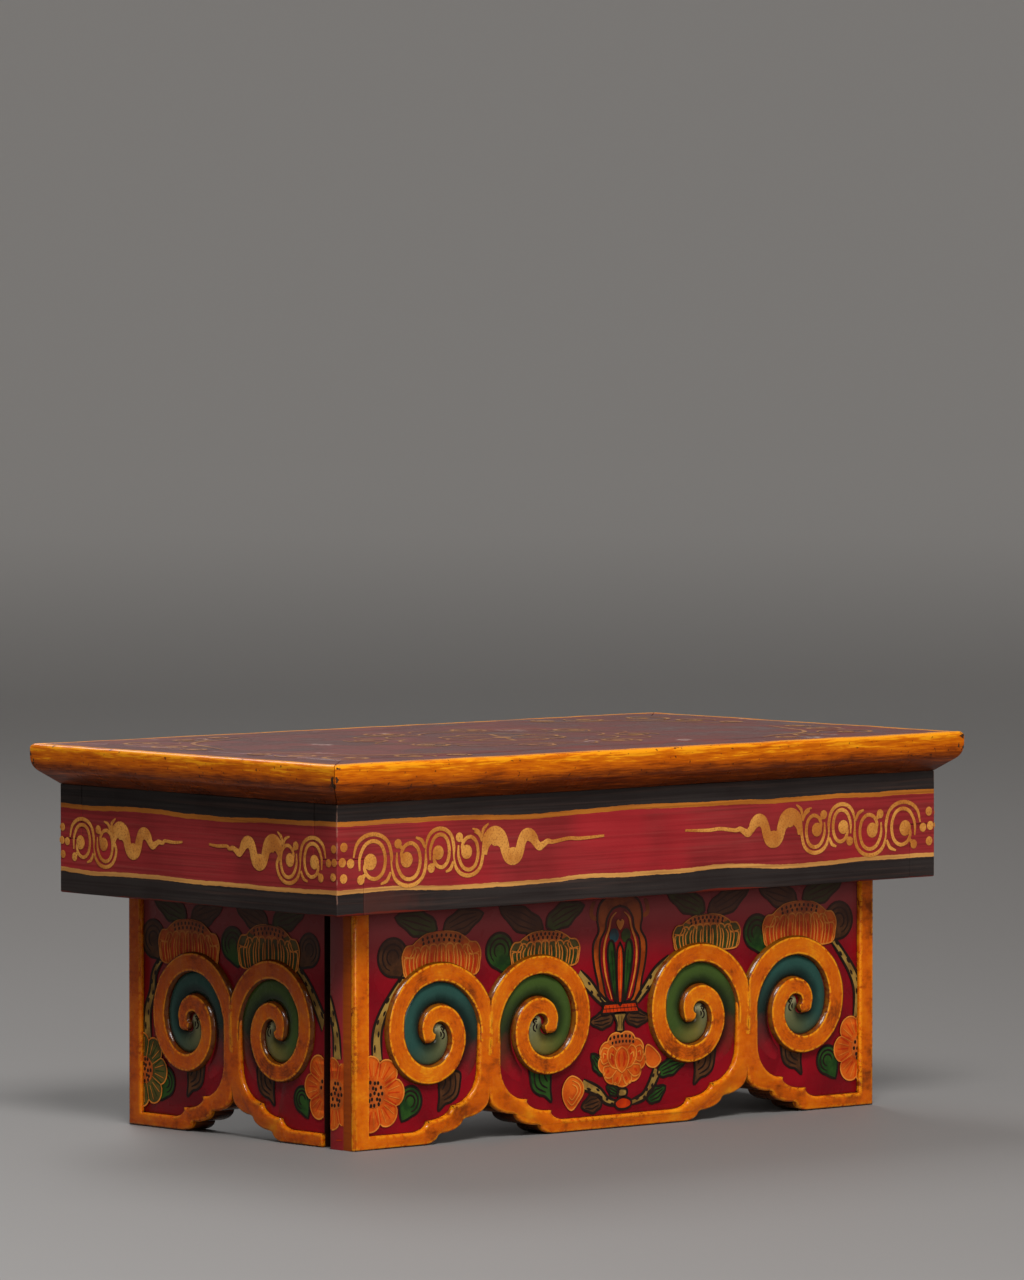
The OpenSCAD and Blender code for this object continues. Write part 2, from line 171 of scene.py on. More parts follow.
class Value:
    """A number, place or colour inside a paint; reckoning with it adds shader nodes."""

    def __init__(self, paint, socket):
        self.paint = paint
        self.socket = socket

    def calc(self, operation, other=0.0):
        return self.paint.value("ShaderNodeMath", {0: self, 1: other}, operation=operation)

    def __add__(self, other):
        return self.calc("ADD", other)

    def __sub__(self, other):
        return self.calc("SUBTRACT", other)

    def __rsub__(self, other):
        return self.paint.value("ShaderNodeMath", {0: other, 1: self}, operation="SUBTRACT")

    def __mul__(self, other):
        return self.calc("MULTIPLY", other)

    def __truediv__(self, other):
        return self.calc("DIVIDE", other)

    def __gt__(self, other):
        return self.calc("GREATER_THAN", other)

    def __lt__(self, other):
        return self.calc("LESS_THAN", other)

    def __abs__(self):
        return self.calc("ABSOLUTE")

    def least(self, other):
        return self.calc("MINIMUM", other)

    def most(self, other):
        return self.calc("MAXIMUM", other)

    def sway(self, wander, most):
        """Moves up and down by at most half the given amount, along with a noise."""
        return self + (wander - 0.5) * most

    def between(self, low, high, most=1.0):
        """Runs smoothly from 0 at low to the most at high."""
        return self.paint.value("ShaderNodeMapRange", {0: self, 1: low, 2: high, 4: most},
                                interpolation_type="SMOOTHSTEP")

    def parts(self):
        node = self.paint.wire("ShaderNodeSeparateXYZ", {0: self})
        return [Value(self.paint, socket) for socket in node.outputs]

    def grain(self, scale, detail=3.0, rough=0.55):
        """A noise over a place; three scales stretch it."""
        place = self
        if isinstance(scale, tuple):
            place = self.paint.value("ShaderNodeMapping", {"Vector": self, "Scale": scale})
            scale = 1
        return self.paint.value("ShaderNodeTexNoise", {"Vector": place, "Scale": scale, "Detail": detail,
                                                       "Roughness": rough})

    def ramp(self, stops, interpolation="LINEAR"):
        node = self.paint.wire("ShaderNodeValToRGB", {0: self})
        node.color_ramp.interpolation = interpolation
        for i, (place, colour) in enumerate(stops):
            stop = node.color_ramp.elements[i] if i < 2 else node.color_ramp.elements.new(place)
            stop.position = place
            stop.color = colour
        return Value(self.paint, node.outputs[0])

    def mix(self, first, second):
        """Goes from the first colour to the second as this one goes from 0 to 1."""
        return self.paint.value("ShaderNodeMix", {0: self, 6: first, 7: second}, 2, data_type="RGBA")

    def times(self, tint):
        return self.paint.value("ShaderNodeMix", {0: 1.0, 6: self, 7: tint}, 2, data_type="RGBA",
                                blend_type="MULTIPLY")


class Paint:
    """A material, wired up node by node."""

    def __init__(self, name):
        self.material = bpy.data.materials.new(name)
        self.material.use_nodes = True
        self.material.node_tree.nodes.clear()

    def wire(self, kind, inputs=None, **settings):
        """Adds a shader node, with values linked and numbers set."""
        tree = self.material.node_tree
        node = tree.nodes.new(kind)
        for key, value in settings.items():
            setattr(node, key, value)
        for key, value in (inputs or {}).items():
            if isinstance(value, Value):
                tree.links.new(value.socket, node.inputs[key])
            else:
                node.inputs[key].default_value = value
        return node

    def value(self, kind, inputs=None, output=0, **settings):
        return Value(self, self.wire(kind, inputs, **settings).outputs[output])

    def place(self, kind="Object"):
        return self.value("ShaderNodeTexCoord", None, kind)

    def bump(self, height, depth):
        return self.value("ShaderNodeBump", {"Height": height, "Distance": depth, "Strength": 1.0})

    def shade(self, inputs):
        """Ends the wiring in a shader."""
        self.wire("ShaderNodeOutputMaterial", {"Surface": self.value("ShaderNodeBsdfPrincipled", inputs)})
        return self.material

    def varnish(self, colour, rough, height, depth=0.15 * MM, coat=0.3, coat_rough=0.14):
        """The shader that all painted pieces share: oil paint under a thin coat of varnish."""
        return self.shade({"Base Color": colour, "Roughness": rough, "Normal": self.bump(height, depth),
                           "Specular IOR Level": 0.08, "Coat Weight": coat, "Coat Roughness": coat_rough})


def coloured(piece, material):
    piece.data.materials.clear()
    piece.data.materials.append(material)


black_paint = srgb(47, 41, 39)
band_red = srgb(144, 42, 43)
line_gold = srgb(182, 108, 36)
line_pale = srgb(204, 146, 76)
undercoat_red = srgb(100, 28, 16)
bare_board = srgb(120, 78, 44)
low_line_from = 0.185
red_from = 0.226
red_to = 0.785
high_line_to = 0.826


def apron_paint():
    """Bands up the rails, dulled and rubbed, most of all beside the corner joint; bare wood inside."""
    paint = Paint("apron_paint")
    at = paint.place()
    x, y, z = at.parts()
    drawn = z.sway(at.grain(16, 1), 5 * MM).sway(at.grain(190), 0.9 * MM)
    share = (drawn - rail_low.z) / (rail_high.z - rail_low.z)
    bands = share.ramp([(0.0, undercoat_red), (0.007, black_paint), (low_line_from, line_pale),
                        (red_from, band_red), (red_to, line_gold), (high_line_to, black_paint)], "CONSTANT")
    streak = at.grain((9, 9, 420), 4)
    cloud = at.grain(22)
    dim = bands.times(srgb(150, 120, 120))
    worn = cloud.between(0.35, 0.7, 0.35).mix(bands, dim)
    worn = streak.between(0.5, 0.72, 0.16).mix(worn, srgb(120, 84, 70))
    worn = at.grain((12, 12, 760)).between(0.42, 0.66, 0.4).mix(worn, dim)
    # Brighter red patches in the band: fresher paint, and a painted sheen.
    fresh_paint_and_sheen = (share > red_from) * (share < red_to) * at.grain(13, 2).between(0.48, 0.66, 0.42)
    worn = fresh_paint_and_sheen.mix(worn, srgb(170, 32, 40))
    past_joint = x - (rail_t - apron_x)
    rubbed = past_joint.sway(at.grain(120, 4), 50 * MM).between(46 * MM, 6 * MM, 0.5)
    rubbed = (share < low_line_from) * (past_joint > 0) * rubbed
    worn = rubbed.mix(worn, srgb(84, 42, 34))
    arris = (apron_x - abs(x)).most(apron_y - abs(y)).sway(at.grain(260), 3 * MM)
    worn = arris.between(0.5 * MM, 0.0, 0.45).mix(worn, srgb(160, 118, 100))
    outer = (abs(x) / apron_x).most(abs(y) / apron_y) > 0.985
    wood = streak.mix(bare_board, srgb(74, 46, 26))
    height = streak * 0.7 + at.grain((700, 700, 25), 2) * 0.5
    rough = cloud.between(0.0, 1.0, 0.3) + 0.35
    return paint.varnish(outer.mix(wood, worn), rough, height, 0.12 * MM, 0.1, 0.35)


banded = apron_paint()
for side, axis in (("front", 0), ("back", 0), ("left", 1), ("right", 1)):
    coloured(halved_rail("painted_rail_" + side, "rail_" + side, axis, axis == 0), banded)

# Gold cloud scrolls on the apron
# Brushed on in gold paint over the red band: curled clouds that run out into a wavy tail, and
# four dots at each corner. The paint stands a little proud, thickest in the middle of a stroke.
scroll_cells = ((-78.7, 141.5, 1, 1, 12), (-55.8, 141.5, -1, 0.95, 10.9),
                (-35.9, 144, 1, 0.87, 9), (-17.6, 143.5, -1, 0.87, 9.3))
short_cells = ((-35, 142.5, 1, 0.94, 10.8), (-14.1, 142.5, -1, 0.9, 10))
curl = ((-0.68, -4, 1), (-0.67, 2.5, 1.7), (-0.38, 8.3, 1.9), (0.07, 10, 1.9), (0.48, 7.6, 1.9),
        (0.67, 1.5, 1.9), (0.56, -5, 1.9), (0.2, -8.2, 1.9), (-0.2, -7.2, 1.9), (-0.42, -3.4, 1.9),
        (-0.34, 0, 2))
curl_neck = ((-0.6, -8, 2.6), (-0.34, -5.6, 1.6))
curl_leaf = ((0.42, -11, 1), (0.76, -9.4, 1.9), (0.96, -5.5, 1.4))
over = ((-1, 2.5, 1), (-0.84, 8.6, 1.8), (-0.48, 12.1, 2), (0, 13.3, 2), (0.48, 12.1, 2),
        (0.84, 8.6, 1.9), (1, 2.5, 1.9))
humps = [(-6.8, 141.5, 2.4), (-6.4, 145.8, 4.5), (-4.6, 149.2, 7.6), (-0.8, 150.4, 9.8), (2.8, 149.2, 8.8),
         (5.2, 146.4, 6.4), (6.4, 143, 5.8), (8, 140.4, 6.4), (10, 139.2, 6.8), (12.2, 139.2, 6.8),
         (14.2, 140.4, 6.4), (15.8, 143.4, 5.8), (17, 147, 5.6), (19, 149.6, 6.2), (21.8, 150, 6.4),
         (24.4, 148.4, 5.6), (26.4, 145.6, 4.2), (28.6, 144, 4.2), (31, 144.8, 3.2), (34, 146.2, 2.6),
         (37.5, 145.8, 2)]
gold_flat = 0.05
gold_lift = 0.2 * MM
film_t = 0.06 * MM
corner_dots = ((4.2, 149.3), (3.2, 142), (8.4, 141.3), (4, 134.2))
short_dots = ((2.2, 148.5), (1.8, 142), (6, 141.6), (2.6, 135))
band_foot = 128


def flowing(points, closed=False, steps=6):
    """Points along a smooth line through the given ones; their widths run along with them."""
    n = len(points)
    line = []
    for i in range(n if closed else n - 1):
        a = points[(i - 1) % n] if closed or i > 0 else points[0]
        b = points[i]
        c = points[(i + 1) % n]
        d = points[(i + 2) % n] if closed or i + 2 < n else points[-1]
        for k in range(steps):
            t = k / steps
            line.append(tuple(
                0.5 * (2 * q + (r - p) * t + (2 * p - 5 * q + 4 * r - s) * t * t
                       + (3 * q - p - 3 * r + s) * t ** 3)
                for p, q, r, s in zip(a, b, c, d)))
    if not closed:
        line.append(tuple(points[-1]))
    return line


def moved(points, x, z, wide=1.0, high=1.0):
    """Points set at another place and size; any widths stay."""
    return [(x + wide * a, z + high * b, *width) for a, b, *width in points]


def polar(x, z, radius, angle):
    return x + radius * math.cos(angle), z + radius * math.sin(angle)


def spiral(x, z, start, end, first, last, width):
    """A stroke from one radius and angle to another, thin at its start."""
    stroke = []
    steps = 30
    for k in range(steps + 1):
        t = k / steps
        spot = polar(x, z, start + (end - start) * t, math.radians(first + (last - first) * t))
        stroke.append((*spot, width * min(1, 0.35 + 4 * t)))
    return stroke


def dab(x, z, radius):
    """A round touch of the brush: a stroke no longer than it is wide."""
    return [(x + radius * math.sin(math.radians(a)), z,
             2 * radius * math.cos(math.radians(a))) for a in range(-88, 89, 16)]


def cloud_scrolls(cells, tail):
    """The strokes of one run of clouds; the wave's first hump is at 0, the curls lie at minus."""
    strokes = []
    wave = []
    for x, z, up, size, half in cells:
        cell = x, z, half, up * size
        strokes += [flowing(moved(curl, *cell)), dab(x - 0.12 * half, z, 4 * size),
                    dab(x - 0.62 * half, z - 8.4 * up * size, 2.3),
                    moved(curl_neck, *cell), flowing(moved(curl_leaf, *cell))]
        wave += moved(over, *cell)
    wave += [(-7.4, 146, 2.6), (-6.4, 149.5, 3)]
    run_out = [(0.5 * tail + 12, 147, 1.8), (0.5 * tail + 20, 146.6, 1.7), (tail, 147.2, 1.2)]
    strokes += [flowing(wave), flowing([(-8.8, 150, 1), (-7.8, 154, 1.9), (-4.5, 156.6, 0.8)]),
                flowing([(-9.4, 149, 1), (-11, 153, 1.8), (-15, 154.6, 0.8)]),
                flowing(humps + run_out), dab(11.1, 140, 4.4)]
    return strokes


def curve_mesh(name, curve, lines, closed, flat=1.0):
    """Makes a mesh of drawn lines; a point has its place and its width in millimetres."""
    for line in lines:
        spline = curve.splines.new("POLY")
        spline.points.add(len(line) - 1)
        spline.use_cyclic_u = closed
        for point, place in zip(spline.points, line):
            point.co = (place[0] * MM, place[1] * MM, 0, 1)
            point.radius = max(place[2], 0.05) / 2 * MM if len(place) > 2 else 1
    piece = bpy.data.objects.new(name, curve)
    bpy.context.collection.objects.link(piece)
    select_only(piece)
    bpy.ops.object.convert(target="MESH")
    piece.scale.z = flat
    settle()
    return piece


def paint_film(name, strokes, patches, flat):
    """One colour of paint, drawn flat in X and Y: brush strokes are low ridges, patches thin films."""
    films = []
    for patch in patches:
        curve = bpy.data.curves.new(name, "CURVE")
        curve.dimensions = "2D"
        curve.fill_mode = "BOTH"
        curve.extrude = film_t / 2
        films.append(curve_mesh(name, curve, [patch], True))
    if strokes:
        curve = bpy.data.curves.new(name, "CURVE")
        curve.dimensions = "3D"
        curve.bevel_depth = 1
        curve.bevel_resolution = 1
        curve.use_fill_caps = True
        films.append(curve_mesh(name, curve, strokes, False, flat))
    for piece in films:
        piece.select_set(True)
    if len(films) > 1:
        bpy.ops.object.join()
    return named(bpy.context.object, name)


def face_out():
    """Turns all faces of the mesh that is being edited outwards."""
    bpy.ops.mesh.select_all(action="SELECT")
    bpy.ops.mesh.normals_make_consistent(inside=False)


def put(piece, matrix):
    """Moves a finished mesh into place and turns its faces outwards."""
    select_only(piece)
    piece.matrix_world = matrix
    settle()
    mode("EDIT")
    face_out()
    mode("OBJECT")


def turned(axis, degrees):
    return Matrix.Rotation(math.radians(degrees), 4, axis)


def gold_paint():
    paint = Paint("gold_scroll_paint")
    at = paint.place()
    cloud = at.grain(60, 4)
    fleck = at.grain(1100)
    colour = cloud.between(0.35, 0.65).mix(srgb(174, 104, 40), srgb(208, 142, 64))
    colour = fleck.between(0.5, 0.64, 0.5).mix(colour, srgb(132, 68, 34))
    return paint.varnish(colour, cloud.between(0.0, 1.0, 0.6), fleck, 0.06 * MM, 0.2, 0.3)


def shifted(strokes, x, squeeze):
    """Moves a run of clouds to its place; a squeezed one is also lower and drawn with a finer brush."""
    low = 0.5 + 0.5 * squeeze
    return [[(x + squeeze * a, band_foot + low * (z - band_foot), w * low) for a, z, w in stroke]
            for stroke in strokes]


gold = gold_paint()
long_run = shifted(cloud_scrolls(scroll_cells, 71), -98, 1)
long_run += [dab(-apron_x / MM + x, z, 2.3) for x, z in corner_dots]
short_run = shifted(cloud_scrolls(short_cells, 55), -58, 0.87)
short_run += [dab(-apron_y / MM + x, z, 2) for x, z in short_dots]
for side, run, turn, out in (("front", long_run, 0, apron_y), ("back", long_run, 180, apron_y),
                             ("left", short_run, -90, apron_x), ("right", short_run, 90, apron_x)):
    mirrored = [moved(stroke, 0, 0, -1) for stroke in run]
    clouds = paint_film("gold_scrolls_" + side, run + mirrored, [], gold_flat)
    put(clouds, turned("Z", turn) @ Matrix.Translation((0, -out - gold_lift, 0)) @ turned("X", 90))
    smooth(60)
    coloured(clouds, gold)
    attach(clouds, "table")

# Edge mouldings and top board
# The board is tongued into four mitred mouldings. The edge is orange with a brown glaze wiped
# along the grain, painted darker in its lower hollow as painted shade and lighter at the upper
# arris as a painted highlight; the face is plum, painted over the joints up to a thin orange rim.
top_low, top_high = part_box("moulding_front")
top_x = top_high.x
top_y = -top_low.y
top_z = top_low.z
skin = 0.35 * MM
overhang = top_y - apron_y
nose_r = 2.2 * MM
bevel_run = 7.5 * MM
bevel_rise = 6 * MM
nose_foot = 14 * MM
mitre_gap = 0.12 * MM
top_arris = 0.4 * MM
moulding_slice = 9 * MM
board_slice = 14 * MM
rim_w = 6.5 * MM
face_z = top_high.z - skin


def outline_mesh(name, outline):
    """A flat face with the given corners, in the XZ plane."""
    piece = begin(name, bpy.ops.mesh.primitive_circle_add, vertices=len(outline), fill_type="NGON")
    for vertex, (x, z) in zip(piece.data.vertices, outline):
        vertex.co = (x, 0, z)
    return piece


def push_out(depth):
    """Gives a flat face its thickness, towards +Y."""
    mode("EDIT")
    bpy.ops.mesh.select_all(action="SELECT")
    bpy.ops.mesh.extrude_region_move(TRANSFORM_OT_translate={"value": (0, depth, 0)})
    face_out()
    mode("OBJECT")


def bent(a, b, c, t):
    return (1 - t) ** 2 * a + 2 * t * (1 - t) * b + t * t * c


def moulding_section():
    """The moulding's section: out from the apron's face, and up."""
    outer = overhang - skin
    corner = bevel_rise * outer / bevel_run
    section = [(-rail_t, top_z), (0, top_z)]
    section += [(bent(bevel_run, outer, outer, k / 8), top_z + bent(bevel_rise, corner, nose_foot, k / 8))
                for k in range(9)]
    section += [polar(outer - nose_r, face_z - nose_r, nose_r, math.radians(15 * k)) for k in range(7)]
    return section + [(-rail_t, face_z)]


def edge_moulding(side, turn, half_length, out):
    """A length of moulding along X at the front, mitred at both ends, then turned to its side."""
    piece = outline_mesh("orange_moulding_" + side, moulding_section())
    push_out(2 * half_length)
    put(piece, Matrix(((0, 1, 0, -half_length), (-1, 0, 0, overhang - out), (0, 0, 1, 0), (0, 0, 0, 1))))
    slice_along(0, -half_length, half_length, moulding_slice)
    mode("EDIT")
    for end in (-1, 1):
        bisect_all((end * (half_length - mitre_gap), -out, 0), (end, 1, 0), clear_outer=True, use_fill=True)
    mode("OBJECT")
    soften(piece, top_arris)
    make_uneven(piece, 0.6 * MM, 25 * MM)
    smooth()
    modify(piece, "WEIGHTED_NORMAL", keep_sharp=True)
    put(piece, turned("Z", turn))
    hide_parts("moulding_" + side)
    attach(piece, "table")
    return piece


plum = srgb(110, 54, 48)
plum_dark = srgb(84, 38, 36)
orange = srgb(176, 80, 3)
orange_light = srgb(200, 104, 5)
# Rubbed yellow is worn paint, and also a painted highlight on the arrises.
rubbed_highlight_yellow = srgb(226, 142, 14)
glaze_brown = srgb(122, 50, 4)
# The darkest edge brown is painted shade, low in the hollow under the moulding's nose.
lower_shade_brown = srgb(84, 32, 4)
glaze_and_shade_dark = srgb(62, 22, 4)


def top_paint():
    """Plum on the face; on the edge orange, with a painted highlight at the upper arris and painted shade in
    the lower hollow.
    """
    paint = Paint("top_paint")
    at = paint.place()
    x, y, z = at.parts()
    in_x = top_x - abs(x)
    in_y = top_y - abs(y)
    inset = in_x.least(in_y).sway(at.grain(60), 4 * MM)
    covered = (z > face_z - 1.2 * MM) * (inset > rim_w)
    at_end = in_x < in_y
    streak = at_end.mix(at.grain((34, 420, 420), 4), at.grain((420, 34, 420), 4))
    hair = at_end.mix(at.grain((110, 1300, 1300)), at.grain((1300, 110, 1300)))
    cloud = at.grain(34, 4)
    # The edge colour runs with height, swayed by the glaze streaks: painted shade low in the hollow, a
    # painted highlight at the upper arris.
    rise = (z - top_z) / (face_z - top_z)
    shade = rise.sway(streak, 1.1).sway(hair, 0.9).sway(cloud, 0.4)
    edge = shade.ramp([(0.0, lower_shade_brown), (0.3, glaze_brown), (0.6, orange), (0.86, orange_light),
                       (1.0, rubbed_highlight_yellow)])
    field = cloud.ramp([(0.3, plum_dark), (0.65, plum)])
    scuff = at.grain((40, 220, 40), 5, 0.7)
    field = scuff.between(0.56, 0.8, 0.35).mix(field, srgb(150, 96, 92))
    speck = at.grain(420, 2)
    rubbed = at.grain(36, 2).between(0.66, 0.72) * speck.between(0.4, 0.55) * 0.7
    field = rubbed.mix(field, srgb(176, 152, 142))
    edge = speck.between(0.66, 0.71, 0.8).mix(edge, srgb(60, 28, 14))
    knocked = (in_x.most(in_y) < 5 * MM) * at.grain(300).between(0.56, 0.62)
    edge = knocked.mix(edge, srgb(64, 40, 24))
    rough = cloud.between(0.0, 1.0, 0.62)
    return paint.varnish(covered.mix(edge, field), rough, streak + scuff * 0.4, 0.16 * MM, 0.12, 0.2)


topped = top_paint()
for side, turn, half_length, out in (("front", 0, top_x, top_y), ("back", 180, top_x, top_y),
                                     ("left", -90, top_y, top_x), ("right", 90, top_y, top_x)):
    coloured(edge_moulding(side, turn, half_length, out), topped)

board_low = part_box("top_board")[0]
board_x = top_x - overhang - rail_t
board_y = top_y - overhang - rail_t
board = begin("plum_board", bpy.ops.mesh.primitive_cube_add, size=1,
              location=(0, 0, (board_low.z + face_z) / 2),
              scale=(2 * board_x - 2 * mitre_gap, 2 * board_y - 2 * mitre_gap, face_z - board_low.z))
settle()
slice_along(0, -board_x, board_x, board_slice)
slice_along(1, -board_y, board_y, board_slice)
soften(board, top_arris)
make_uneven(board, 0.35 * MM, 45 * MM)
smooth()
coloured(board, topped)
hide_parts("top_board")
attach(board, "table")

# Faded gold drawing on the top
# A lotus medallion in the middle and cloud curls in the corners, brushed thinly in ochre gold
# on the plum face. Years of use have worn it nearly away.
medallion_x = 82
medallion_y = 66
drawing_flat = 0.03
drawing_lift = 0.12 * MM


def medallion():
    strokes = []
    for reach, lobes, width in ((0.42, 8, 1.8), (0.78, 8, 1.5), (1.0, 16, 1.2)):
        loop = []
        for k in range(161):
            a = math.radians(360 * k / 160)
            r = reach * (0.84 + 0.16 * abs(math.cos(lobes * a / 2)))
            loop.append((medallion_x * r * math.cos(a), medallion_y * r * math.sin(a), width))
        strokes.append(loop)
    for k in range(8):
        a = math.radians(45 * k + 22.5)
        x = 0.9 * medallion_x * math.cos(a)
        y = 0.9 * medallion_y * math.sin(a)
        strokes += [spiral(x, y, 13, 2.5, 45 * k, 45 * k + 420, 2.2), dab(x, y, 3),
                    [(0.12 * x, 0.12 * y, 1), (0.3 * x, 0.3 * y, 2.4), (0.46 * x, 0.46 * y, 1)]]
    return strokes + [dab(0, 0, 5)]


def corner_curls():
    strokes = []
    for x, y, size, turn in ((166, 78, 17, 200), (134, 86, 12, 120), (174, 48, 12, 300), (110, 92, 7, 60),
                             (180, 24, 7, 30)):
        strokes += [spiral(x, y, size, 2.5, turn, turn + 460, 2.4), dab(x, y, 2.6)]
    strokes.append(flowing([(100, 84, 0.8), (116, 76, 2), (140, 70, 2.6), (154, 56, 2.2), (162, 34, 2),
                            (170, 14, 0.8)]))
    return [moved(stroke, 0, 0, x, y) for stroke in strokes for x in (-1, 1) for y in (-1, 1)]


def faded_gold():
    paint = Paint("faded_gold")
    wear = paint.place().grain(38, 5, 0.7)
    colour = wear.ramp([(0.46, srgb(168, 112, 52)), (0.66, plum)])
    return paint.varnish(colour, wear.between(0.0, 1.0, 0.7), wear, 0.1 * MM, 0.25, 0.3)


drawing = paint_film("faded_top_drawing", medallion() + corner_curls(), [], drawing_flat)
put(drawing, Matrix.Translation((0, 0, face_z + drawing_lift)))
smooth(60)
coloured(drawing, faded_gold())
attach(drawing, "table")

# Front panel
# One plank, sawn below into two pointed arches of three lobes a side. The ground is cut back,
# leaving a raised border, stems and four volutes; all is painted and varnished.
relief = 2.4
sunk = 0.5
band_proud = 0.35
head_turn = -34
head_length = 4.6
widen_turn = 420
stem_turn = 540
foot_turn = 584
stem_step = 0.5
widening = 1.15
ridge_w = 2.2
arch_at = 86
lobe_run = (17, 16, 10)
lobe_drop = (9.5, 6.5, 5)
border_h = 6.7
stem_half = 7.2
stile_w = 9.5
scroll_reach = 35.5
scroll_z = 54
border_round = 1.3
hollow_rise = 1.3
hollow_from = -262
hollow_to = 287
hollow_tuck = 0.6
hollow_fade = 0.26
stem_ridge = 0.35
stem_top = 66
stem_fillet = 8
panel_arris = 0.5 * MM
front_low, front_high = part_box("panel_front")


def half_arch(fillet=0):
    """One side of an arch, from its point out to the floor; a fillet starts the first lobe higher."""
    line = []
    drops = (lobe_drop[0] + fillet, *lobe_drop[1:])
    x, z = 0, sum(drops)
    for run, drop in zip(lobe_run, drops):
        line += [(x + run * (1 - math.cos(math.radians(10 * k))), z - drop * math.sin(math.radians(10 * k)))
                 for k in range(10)]
        x += run
        z -= drop
    return line


def panel_outline(panel):
    half, height = panel["half"], panel["height"]
    side = half_arch()
    line = [(-half, height), (-half, 0)]
    for axis in panel["arches"]:
        line += moved(side[::-1], axis, 0, -panel["squeeze"]) + moved(side[1:], axis, 0, panel["squeeze"])
    return line + [(half, 0), (half, height)]


def border_outline(panel):
    """The raised border runs round the arches and up both stiles, where a panel has them."""
    half, height, squeeze = panel["half"], panel["height"], panel["squeeze"]
    line = panel_outline(panel)
    if panel["right_stile"]:
        line += [(half - stile_w, height), (half - stile_w, border_h)]
    else:
        line = line[:-1] + [(half, border_h)]
    side = [(0, stem_top - stem_half), (0, scroll_z)] + moved(half_arch(stem_fillet), 0, border_h)
    side = moved(side, stem_half, 0)
    for axis in reversed(panel["arches"]):
        line += moved(side[::-1], axis, 0, squeeze) + [(axis, stem_top)] + moved(side, axis, 0, -squeeze)
    return line + [(stile_w - half, border_h), (stile_w - half, height)]


def in_metres(outline):
    return moved(outline, 0, 0, MM, MM)


def remember_place(piece):
    """Keeps each point's place in the upright panel, for the paint: a folded panel takes it along."""
    places = piece.data.attributes.new("panel_place", "FLOAT_VECTOR", "POINT")
    places.data.foreach_set("vector", [c for v in piece.data.vertices for c in v.co])


def panel_piece(piece, panel, material, turn=None):
    """Sets a piece that was made in the panel's own plane into its panel."""
    if turn is not None:
        put(piece, turn)
    remember_place(piece)
    put(piece, panel["matrix"])
    coloured(piece, material)
    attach(piece, panel["body"])


def strip_mesh(name, long, across, shape):
    """A grid bent into a carved roll, closed underneath; its UV runs along and across it."""
    piece = begin(name, bpy.ops.mesh.primitive_grid_add, x_subdivisions=long, y_subdivisions=across, size=2)
    for vertex in piece.data.vertices:
        vertex.co = Vector(shape((vertex.co.x + 1) / 2, (vertex.co.y + 1) / 2)) * MM
    mode("EDIT")
    bpy.ops.mesh.select_all(action="SELECT")
    bpy.ops.mesh.remove_doubles(threshold=0.01 * MM)
    bpy.ops.mesh.select_mode(type="EDGE")
    bpy.ops.mesh.select_all(action="DESELECT")
    bpy.ops.mesh.select_non_manifold()
    bpy.ops.mesh.edge_face_add()
    face_out()
    mode("OBJECT")
    return piece


def dome(t, fullness):
    return max(0, 1 - abs(2 * t - 1) ** fullness) ** (1 / fullness)


def eased(s, share):
    """Rises round from 0 at the end of a roll to 1 after the given share of its length."""
    return 1 if s >= share else math.sqrt(max(0, 1 - (1 - s / share) ** 2))


def scroll_radius(turn):
    return 4 + 21 * turn / 360


def band_half(turn):
    """Half the width of a volute's band: widest at its outer side, fuller at the inner turn."""
    return 4.9 + 0.9 * math.exp(-((turn - 360) / 60) ** 2) + 0.6 * math.exp(-((turn - 180) / 60) ** 2)


def volute_band(s, t):
    """A band from its blunt head in the eye, round and out, and down along the stem."""
    turn = head_turn + (foot_turn - head_turn) * s
    onward = min(max(turn, 0), stem_turn)
    head = max(0, turn / head_turn) if turn < 0 else 0
    round_head = math.sqrt(max(0, 1 - head ** 2))
    into_stem = min(1, max(0, (turn - widen_turn) / (stem_turn - widen_turn)))
    half = (band_half(onward) + widening * into_stem) * round_head
    radius = scroll_radius(onward) - widening * into_stem + (2 * t - 1) * half
    angle = math.radians(180 - onward)
    x = min(radius * math.cos(angle), scroll_reach)
    proud = band_proud + stem_ridge * into_stem * math.exp(-((scroll_reach - x) / ridge_w) ** 2)
    rise = (relief + proud + sunk) * dome(t, 7) * min(eased(s, 0.03), eased(1 - s, 0.08)) - sunk
    down = max(0, turn - stem_turn) * stem_step + head * head_length
    return x, relief - rise, radius * math.sin(angle) - down


def hollow_roll(s, t):
    """A low roll that fills the hollow between two turns of a band and fades out at its end."""
    turn = hollow_from + (hollow_to - hollow_from) * s
    inner = max(scroll_radius(turn) + band_half(turn), 0) - hollow_tuck
    outer = scroll_radius(turn + 360) - band_half(turn + 360) + hollow_tuck
    start = eased(s, 0.1)
    end = min(1, (1 - s) / hollow_fade)
    half = (outer - inner) / 2 * start
    radius = max((inner + outer) / 2 + (2 * t - 1) * half, 0.05 * t)
    rise = (hollow_rise + sunk) * dome(t, 2) * start * end * end * (3 - 2 * end) - sunk
    angle = math.radians(180 - turn)
    return radius * math.cos(angle), relief - rise, radius * math.sin(angle)


def panel_place(paint):
    return paint.value("ShaderNodeAttribute", None, "Vector", attribute_name="panel_place")


def in_corners(paint, reach=1.7 * MM, inside=False):
    """0 deep in the corners of the carving, or inside at a piece's own edges, and 1 on the open faces."""
    return paint.value("ShaderNodeAmbientOcclusion", {"Distance": reach}, "AO", samples=6, inside=inside,
                       only_local=inside)


panel_orange = srgb(194, 84, 1)
panel_light = srgb(208, 104, 3)


